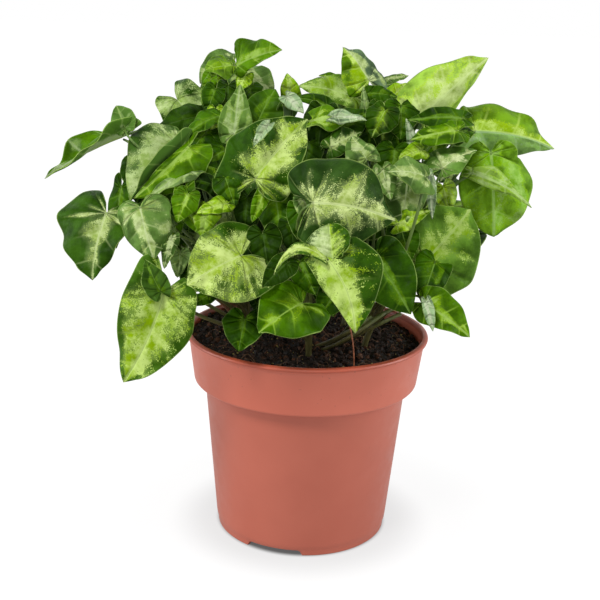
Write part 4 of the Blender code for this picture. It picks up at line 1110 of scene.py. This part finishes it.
# by the stem that bears them: number, the petiole's end, the tip, where it faces, width
YOUNG = {
    "left": (
        Leaf(60, (-41, -8, 191), (-54, -16, 182), (-100, 35), 0.9, look=PLAIN),
        Leaf(90, (-57, -20, 194), (-81, -28, 171), (-95, 30), (0.85, 0.2), lean=-0.05, look=LEAFY),
        Leaf(91, (-44, -30, 178), (-59, -34, 179), (-100, 30), 0.6, lean=0.1, look=DEEP),
        Leaf(92, (-57, -36, 177), (-47, -42, 157), (-95, 15), 0.45, lean=0.08, look=LEAFY),
        Leaf(93, (-72, -36, 169), (-60, -40, 158), (-90, 20), 0.6, look=SAGE),
        Leaf(94, (-64, -30, 176), (-58, -34, 161), (-95, 15), 0.6, look=PLAIN),
        Leaf(95, (-38, -40, 172), (-51, -44, 168), (-100, 40), 0.6, look=BRIGHT_BACKLIT),
        Leaf(96, (-44, -56, 134), (-51, -60, 130), (-110, 30), 0.8, look=PLAIN),
        Leaf(97, (-88, -20, 174), (-90, -24, 146), (-100, 10), 0.35, look=PLAIN),
        Leaf(98, (-61, -50, 158), (-64, -54, 145), (-100, 10), 0.5, look=GREY_SHEEN),
        Leaf(109, (-39, -34, 183), (-34, -38, 170), (-90, 10), 0.9, look=PLAIN),
        Leaf(113, (-22, -12, 130), (-25, -20, 116), (-90, 15), 0.9, look=DEEP),
        Leaf(114, (-64, -66, 138), (-71, -62, 151), (-100, 25), (0.9, 0.7), fold=(40, 10),
             look=replace(PLAIN, dark=(54, 88, 24))),
    ),
    "front": (
        Leaf(99, (-21, -46, 179), (-26, -50, 166), (-95, 15), 0.5, look=LEAFY),
        Leaf(100, (-16, -42, 175), (-12, -48, 156), (-90, 15), 0.9, look=PLAIN),
        Leaf(101, (-5, -50, 173), (1, -54, 155), (-90, 10), 0.7, look=PLAIN),
        Leaf(102, (-4, -54, 178), (2, -56, 167), (-90, 20), 0.75, look=GREY_SHEEN),
        Leaf(103, (-21, -52, 162), (-18, -56, 146), (-90, 15), 0.9, look=DEEP),
        Leaf(104, (-10, -68, 153), (-20, -72, 143), (-95, 25), 0.8, look=DEEP),
        Leaf(105, (6, -87, 160), (-15, -84, 152), (-95, 35), (0.3, 0.26), lean=0.34, fold=(20, -25),
             lobes=0.1, blunt=0.08, look=CREAM),
        Leaf(106, (-4, -50, 149), (3, -54, 135), (-90, 10), 0.9, look=PLAIN),
        Leaf(107, (14, -46, 138), (4, -50, 123), (-90, 10), 0.8, look=PLAIN),
        Leaf(110, (9, -86, 160), (7, -79, 173), (-92, 15), (0.72, 0.62), fold=(-10, 30), lobes=0.1,
             blunt=0.55, look=(replace(CREAM, reach=0.9, pale=(196, 214, 150)),
                               replace(LIME, reach=0.3, speckle=1.5))),
        Leaf(111, (3, -60, 163), (-5, -62, 156), (-92, 20), 0.8, look=LEAFY),
        Leaf(112, (-9, -48, 166), (-7, -52, 153), (-90, 15), 0.9, look=DEEP),
        Leaf(118, (-29, -32, 174), (-30, -36, 158), (-92, 15), 0.8, look=DEEP),
        Leaf(120, (-2, -8, 196), (-4, -12, 182), (-90, 15), 1.0, look=DEEP),
    ),
    "right": (
        Leaf(79, (47, -6, 195), (43, -2, 208), (-90, 20), 0.35, look=SILVER),
        Leaf(80, (50, -14, 195), (39, -18, 191), (-90, 40), 0.8, look=BRIGHT_BACKLIT),
        Leaf(84, (53, -24, 184), (55, -30, 166), (-85, 10), 0.3, look=SILVER),
        Leaf(85, (39, -34, 164), (54, -30, 170), (-88, 35), 0.55, look=BRIGHT_BACKLIT),
        Leaf(86, (57, -34, 147), (51, -42, 130), (-92, 10), 0.9, look=PLAIN),
        Leaf(87, (52, -56, 134), (55, -60, 122), (-90, 10), 0.4, look=SILVER),
        Leaf(88, (41, -30, 161), (46, -34, 147), (-90, 15), 1.0, look=PLAIN),
        Leaf(89, (31, -36, 189), (35, -40, 176), (-90, 10), 0.7, look=GREY_SHEEN),
        Leaf(108, (22, -30, 183), (18, -36, 168), (-90, 10), 0.9, look=PLAIN),
        Leaf(116, (38, -8, 194), (36, -14, 178), (-90, 15), 1.0, look=PLAIN),
    ),
    "back_left": (
        Leaf(53, (-46, 42, 222), (-57, 36, 214), (-100, 35), 1.1, look=LEAFY),
        Leaf(54, (-42, 50, 227), (-58, 42, 217), (-100, 40), 1.3, lobes=1.2, look=GREY_SHEEN),
        Leaf(55, (-42, 22, 218), (-42, 14, 204), (-90, 15), 0.75, look=DEEP),
        Leaf(56, (-48, 14, 217), (-51, 8, 206), (-95, 15), 0.9, fold=(-20, 20), look=PLAIN),
        Leaf(57, (-51, 26, 220), (-54, 20, 205), (-95, 15), 0.4, look=LEAFY),
        Leaf(58, (-47, 6, 208), (-47, 2, 196), (-90, 20), 0.7, look=BRIGHT_BACKLIT),
        Leaf(59, (-50, 0, 199), (-59, -8, 186), (-100, 30), 1.0, look=PLAIN),
        Leaf(61, (-20, -45, 208), (-26, -48, 199), (-100, 30), 0.55, fold=(30, 30), look=SILVER),
        Leaf(62, (-13, -2, 216), (-5, -5, 209), (-80, 30), 0.75, look=SILVER),
        Leaf(63, (-11, 30, 211), (-14, 34, 224), (-90, 40), 0.75, look=BRIGHT_BACKLIT),
        Leaf(64, (-33, 18, 224), (-37, 14, 216), (-95, 20), 0.8, look=BRIGHT_BACKLIT),
        Leaf(65, (-32, 26, 217), (-28, 20, 210), (-90, 20), 1.2, look=PLAIN),
        Leaf(75, (4, -2, 210), (2, -8, 191), (-95, 10), 0.85, look=DEEP),
        Leaf(119, (-88, -8, 200), (-92, -6, 210), (95, 20), 1.1, fold=(10, 25), blunt=0.1,
             look=replace(LEAFY, dark=(70, 108, 30), pale=(120, 152, 86))),
    ),
    "back_right": (
        Leaf(66, (22, 44, 212), (-8, 40, 217), (-95, 40), (0.55, 0.5), lobes=0.8, look=LIME),
        Leaf(67, (16, 52, 218), (2, 50, 222), (-95, 50), 0.6, look=LEAFY),
        Leaf(68, (35, 28, 223), (46, 30, 225), (-85, 35), 0.55, fold=(-30, 10), look=GREY_SHEEN),
        Leaf(69, (37, 18, 215), (45, 22, 222), (-85, 35), 0.9, look=BRIGHT_BACKLIT),
        Leaf(70, (25, 16, 217), (40, 12, 216), (-85, 35), 0.6, look=PLAIN),
        Leaf(71, (32, 5, 211), (33, -3, 190), (-85, 15), 0.62, look=STREAK),
        Leaf(72, (25, 10, 205), (23, 14, 221), (-90, 10), 0.28, look=SAGE),
        Leaf(73, (8, 6, 210), (-11, 2, 215), (-95, 30), (0.35, 0.45), lean=0.06, look=PLAIN),
        Leaf(74, (9, -14, 209), (24, -16, 208), (-90, 40), 0.45, look=SILVER),
        Leaf(76, (8, -14, 195), (22, -12, 202), (-90, 40), 0.8, look=STAR),
        Leaf(77, (13, 0, 202), (27, 4, 210), (-90, 30), 0.9, look=PLAIN),
        Leaf(78, (43, -2, 192), (40, 4, 205), (-88, 20), 0.9, look=PLAIN),
        Leaf(81, (66, -12, 204), (44, -18, 200), (-95, 30), 0.6, fold=(10, -10), look=LEAFY),
        Leaf(82, (69, -4, 209), (43, -10, 208), (-95, 30), 0.4, look=PLAIN),
        Leaf(115, (28, 10, 205), (26, 4, 190), (-90, 15), 1.0, look=PLAIN),
        Leaf(117, (56, 6, 200), (59, 0, 187), (-88, 15), 1.0, look=LEAFY),
        Leaf(121, (41, 4, 213), (41, -2, 197), (-90, 15), 1.0, look=PLAIN),
    ),
}


def make_petioles(name, stem, leaves):
    """Petioles from the stem's foot to the undersides of these blades. Each is the cubic curve
    (1 - t)^3 foot + 3 (1 - t)^2 t rise + 3 (1 - t) t^2 arrival + t^3 end: it leaves the foot almost
    upright and comes to the blade from below and from the sinus. Its radius falls evenly."""
    t = np.linspace(0, 1, PETIOLE_STEPS)[:, None]
    x, y = STEMS[stem][0]
    foot = np.array([x, y, YOUNG_FOOT_Z])
    out, climb = PETIOLE_START
    start = np.array([out * np.sign(x), out * np.sign(y), climb])
    paths = []
    for leaf in leaves:
        _, along, _, up = leaf_axes(leaf)
        end = np.array(leaf.at) - 0.3 * np.array(up)
        span = np.linalg.norm(end - foot)
        rise = foot + span * start
        arrival = end - span * PETIOLE_ARRIVAL * np.array(0.8 * up + 0.45 * along)
        path = (1 - t) ** 3 * foot + 3 * (1 - t) ** 2 * t * rise
        paths.append(path + 3 * (1 - t) * t**2 * arrival + t**3 * end)
    radii = np.broadcast_to(np.linspace(*PETIOLE_RADII, PETIOLE_STEPS), (len(leaves), PETIOLE_STEPS))
    petioles = tube_object(name, np.array(paths), radii, PETIOLE_SIDES, petiole_green)
    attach(petioles, "root")


for stem, leaves in YOUNG.items():
    make_blades(f"young_leaves_{stem}", leaves, YOUNG_ROWS, YOUNG_COLUMNS)
    make_petioles(f"young_petioles_{stem}", stem, leaves)

# ---------------------------------------------------------------- Low petioles and dry thread
# Bare petioles that leave a stem or the soil low down and bend up into the crown, and one dry reddish
# thread that stands in the soil at the front right. Each is given by its foot, its elbow and its end.

LOW_PETIOLES = (
    ((-30, -16, 106), (-44, -42, 117), (-54, -60, 129)),
    ((-29, -15, 108), (-43, -38, 122), (-51, -56, 134)),
    ((-28, -14, 110), (-42, -32, 127), (-50, -50, 137)),
    ((4, -9, 96), (16, -46, 113), (29, -40, 122)),
    ((7, -14, 96), (17, -48, 111), (35, -40, 124)),
    ((9, -10, 96), (19, -43, 115), (39, -36, 125)),
    ((11, -12, 96), (20, -38, 116), (27, -34, 128)),
    ((14, -8, 96), (25, -42, 115), (42, -44, 125)),
)
LOW_RADIUS = 0.9
THREAD = (((21.5, -49.5, 96), (22, -51, 110), (18, -57, 124)),)
THREAD_RADIUS = 0.32
THREAD_STEPS = 20
THREAD_RED = (0.36, 0.12, 0.045)
THREAD_BROWN = (0.17, 0.05, 0.02)


def elbow_tubes(name, corners, steps, radius, material):
    """Even tubes along the quadratic curves (1 - t)^2 foot + 2 (1 - t) t elbow + t^2 end."""
    t = np.linspace(0, 1, steps)[None, :, None]
    foot, elbow, end = (np.array(corners, float)[:, None, i] for i in range(3))
    paths = (1 - t) ** 2 * foot + 2 * (1 - t) * t * elbow + t**2 * end
    made = tube_object(name, paths, np.full(paths.shape[:2], radius), PETIOLE_SIDES, material)
    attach(made, "root")


elbow_tubes("low_petioles", LOW_PETIOLES, PETIOLE_STEPS, LOW_RADIUS, petiole_green)
thread_finish = strand("dry thread", THREAD_RED, THREAD_BROWN, 400, 0.6)
elbow_tubes("dry_thread", THREAD, THREAD_STEPS, THREAD_RADIUS, thread_finish)

# ---------------------------------------------------------------- Inner leaves
# Small leaves that fill the inside of the crown, where only parts of them are seen. They stand where
# the rule below finds room, on thin petioles like those of the young leaves.

INNER_ROWS = 22
INNER_COLUMNS = 14
INNER_SEED = 29
INNER_NUMBER = 200  # of the first of them
INNER_TRIES = 1400
INNER_MIDDLE = np.array([-4.0, 4.0, 158.0])
INNER_SPAN = np.array([84.0, 62.0, 58.0])
INNER_LENGTHS = (19, 36)
INNER_BLADE_Z = 128  # no blade starts lower,
INNER_TIP_Z = 118  # no tip hangs lower,
INNER_TIP_LEAST = -88  # no tip is further left or further forward,
INNER_TIP_OUT = 1.05  # nor further out from the middle, in spans
INNER_CLEAR = 2.4  # from any other blade
SIGHT_SLOPE = 0.29  # the best side is seen from the front and this much from above
SIGHT_CLEAR = 5.0


def blade_samples(leaf):
    """Points spread over the blade, to measure gaps with."""
    return blade_grid(leaf, np.linspace(0, 1, 10), np.linspace(-1, 1, 7))[0].reshape(-1, 3)


def as_seen(points):
    """Across, up, and depth, along a line of sight that falls by the slope towards the back."""
    return np.stack([points[:, 0], points[:, 2] + SIGHT_SLOPE * points[:, 1]], axis=-1), points[:, 1]


def in_crown(at, tip):
    """Whether a blade keeps to the inside of the crown."""
    out = np.hypot(*((tip - INNER_MIDDLE) / INNER_SPAN)[:2])
    high_enough = at[2] >= INNER_BLADE_Z and tip[2] >= INNER_TIP_Z
    return high_enough and min(tip) >= INNER_TIP_LEAST and out <= INNER_TIP_OUT


def inner_leaves(shown_leaves, hidden_leaves):
    """Each try takes a random place in the dome, a length, and a side to face, which is outwards from
    the crown's middle and up; the tip hangs outwards and down. It is kept if it is clear of every
    blade that stands already and hides none of the shown ones, and the nearest stem bears it."""
    rng = np.random.default_rng(INNER_SEED)
    standing = np.concatenate([blade_samples(leaf) for leaf in shown_leaves + hidden_leaves])
    front, front_depth = as_seen(np.concatenate([blade_samples(leaf) for leaf in shown_leaves]))
    feet = np.array([foot for foot, _ in STEMS.values()])
    number = INNER_NUMBER
    grown = {stem: [] for stem in STEMS}
    for _ in range(INNER_TRIES):
        way = rng.normal(size=3)
        way /= np.linalg.norm(way)
        away = rng.uniform(0.3, 1) ** 0.7
        at = INNER_MIDDLE + way * INNER_SPAN * away
        length = rng.uniform(*INNER_LENGTHS)
        azimuth = np.degrees(np.arctan2(way[1], way[0])) + rng.uniform(-35, 35)
        if way[1] < 0.35:
            azimuth = rng.uniform(-135, -55)
        elevation = rng.uniform(5, 60)
        heading = radians(azimuth + rng.uniform(-60, 60))
        drop = rng.uniform(0.1, 1.1)
        out = np.array([cos(heading), sin(heading), -drop])
        tip = at + length * out / np.linalg.norm(out)
        look = (PLAIN, DEEP, PLAIN, LEAFY, STAR, FEATHER)[rng.integers(6)]
        width, lobes = rng.uniform(0.7, 1.1), rng.uniform(0.8, 1.5)
        if not in_crown(at, tip):
            continue
        leaf = Leaf(number, tuple(at), tuple(tip), (azimuth, elevation), width, 8, lobes, look=look)
        points = blade_samples(leaf)
        near = standing[np.linalg.norm(standing - at, axis=1) < 2 * length]
        if len(near) and np.linalg.norm(points[:, None] - near[None], axis=2).min() < INNER_CLEAR:
            continue
        seen, depth = as_seen(points)
        close = np.linalg.norm(front - as_seen(at[None])[0], axis=1) < 2 * length
        gap = np.linalg.norm(seen[:, None] - front[close][None], axis=2)
        if ((gap < SIGHT_CLEAR) & (depth[:, None] < front_depth[close][None])).any():
            continue
        nearest = np.argmin(np.hypot(*(feet - 0.4 * at[:2]).T))
        grown[list(STEMS)[nearest]].append(leaf)
        standing = np.concatenate([standing, points])
        number += 1
    return grown


placed = SHOWN_LEAVES + sum(YOUNG.values(), ())
for stem, leaves in inner_leaves(placed, BACK_LEAVES).items():
    make_blades(f"inner_leaves_{stem}", leaves, INNER_ROWS, INNER_COLUMNS)
    make_petioles(f"inner_petioles_{stem}", stem, leaves)

# ---------------------------------------------------------------- Floor and light
# A seamless white table under broad soft lights, with a faint shadow painted into its glow where the pot
# stands.

TABLE_SIDE = 12000.0
FOOT_SHADE = (40.5, 44.5)  # radii between which the table brightens at the pot's foot,
NEAR_SHADE = (44.5, 72.0)  # a little more beside it,
FAR_SHADE = (72.0, 160.0)  # and to full white
SKY_LIGHT = 0.14
SKY_GLOSS = 0.76  # what reflections see of the sky above that


def white_table():
    """Matt white that glows, so that the table and the backdrop are one white, and its glow fades to a soft
    grey at the pot's foot and under it as a painted shadow. To the plant it gives a little more than half of
    that light back."""
    material, tree, shader = new_finish("white table", Roughness=0.9, Specular_IOR_Level=0.0)
    shader.inputs["Base Color"].default_value = (0.10, 0.10, 0.10, 1)
    shader.inputs["Emission Color"].default_value = (1, 1, 1, 1)
    away = add_node(tree, "VectorMath", {0: in_object(tree)}, operation="LENGTH").outputs["Value"]
    # painted shadow: the glow is lowest at the pot's foot and rises to full white away from it
    foot = stretched(tree, away, *(r * MM for r in FOOT_SHADE), 0.10, 0.74)
    near = stretched(tree, away, *(r * MM for r in NEAR_SHADE), 0.0, 0.18)
    far = stretched(tree, away, *(r * MM for r in FAR_SHADE), 0.0, 0.08)
    glow = sums(tree, "ADD", sums(tree, "ADD", foot, near), far)
    looked_at = stretched(tree, add_node(tree, "LightPath").outputs["Is Camera Ray"], 0, 1, 0.55, 1.0)
    tree.links.new(sums(tree, "MULTIPLY", glow, looked_at), shader.inputs["Emission Strength"])
    return material


table_corners = np.array([(-1, -1, 0), (1, -1, 0), (1, 1, 0), (-1, 1, 0)]) * TABLE_SIDE / 2
table = object_from("table_top", table_corners, [(0, 1, 2, 3)], white_table())


def soft_light(name, place, aim, size, power):
    """A square area light, turned towards the point that it lights. Sizes and places are in metres."""
    data = bpy.data.lights.new(name, "AREA")
    data.shape = "SQUARE"
    data.size = size
    data.energy = power
    light = bpy.data.objects.new(name, data)
    light.location = place
    light.rotation_euler = (Vector(aim) - Vector(place)).to_track_quat("-Z", "Y").to_euler()
    bpy.context.scene.collection.objects.link(light)


soft_light("key", (-0.45, -0.75, 1.15), (0, 0, 0.16), 0.36, 10.6)
soft_light("front", (0.1, -1.5, 0.36), (0, 0, 0.08), 0.9, 3.8)
soft_light("fill_right", (1.1, -0.15, 0.55), (0, 0, 0.12), 0.8, 9.2)
soft_light("fill_left", (-1.1, -0.15, 0.45), (0, 0, 0.12), 0.8, 6.4)

world = bpy.data.worlds.new("studio")
bpy.context.scene.world = world
world.use_nodes = True
sky = world.node_tree.nodes["Background"]
sky.inputs["Color"].default_value = (1, 1, 1, 1)
ray = add_node(world.node_tree, "LightPath").outputs
glossy = sums(world.node_tree, "MULTIPLY_ADD", ray["Is Glossy Ray"], SKY_GLOSS, SKY_LIGHT)
strength = sums(world.node_tree, "MAXIMUM", ray["Is Camera Ray"], glossy)
world.node_tree.links.new(strength, sky.inputs["Strength"])
bpy.context.scene.view_settings.view_transform = "Standard"
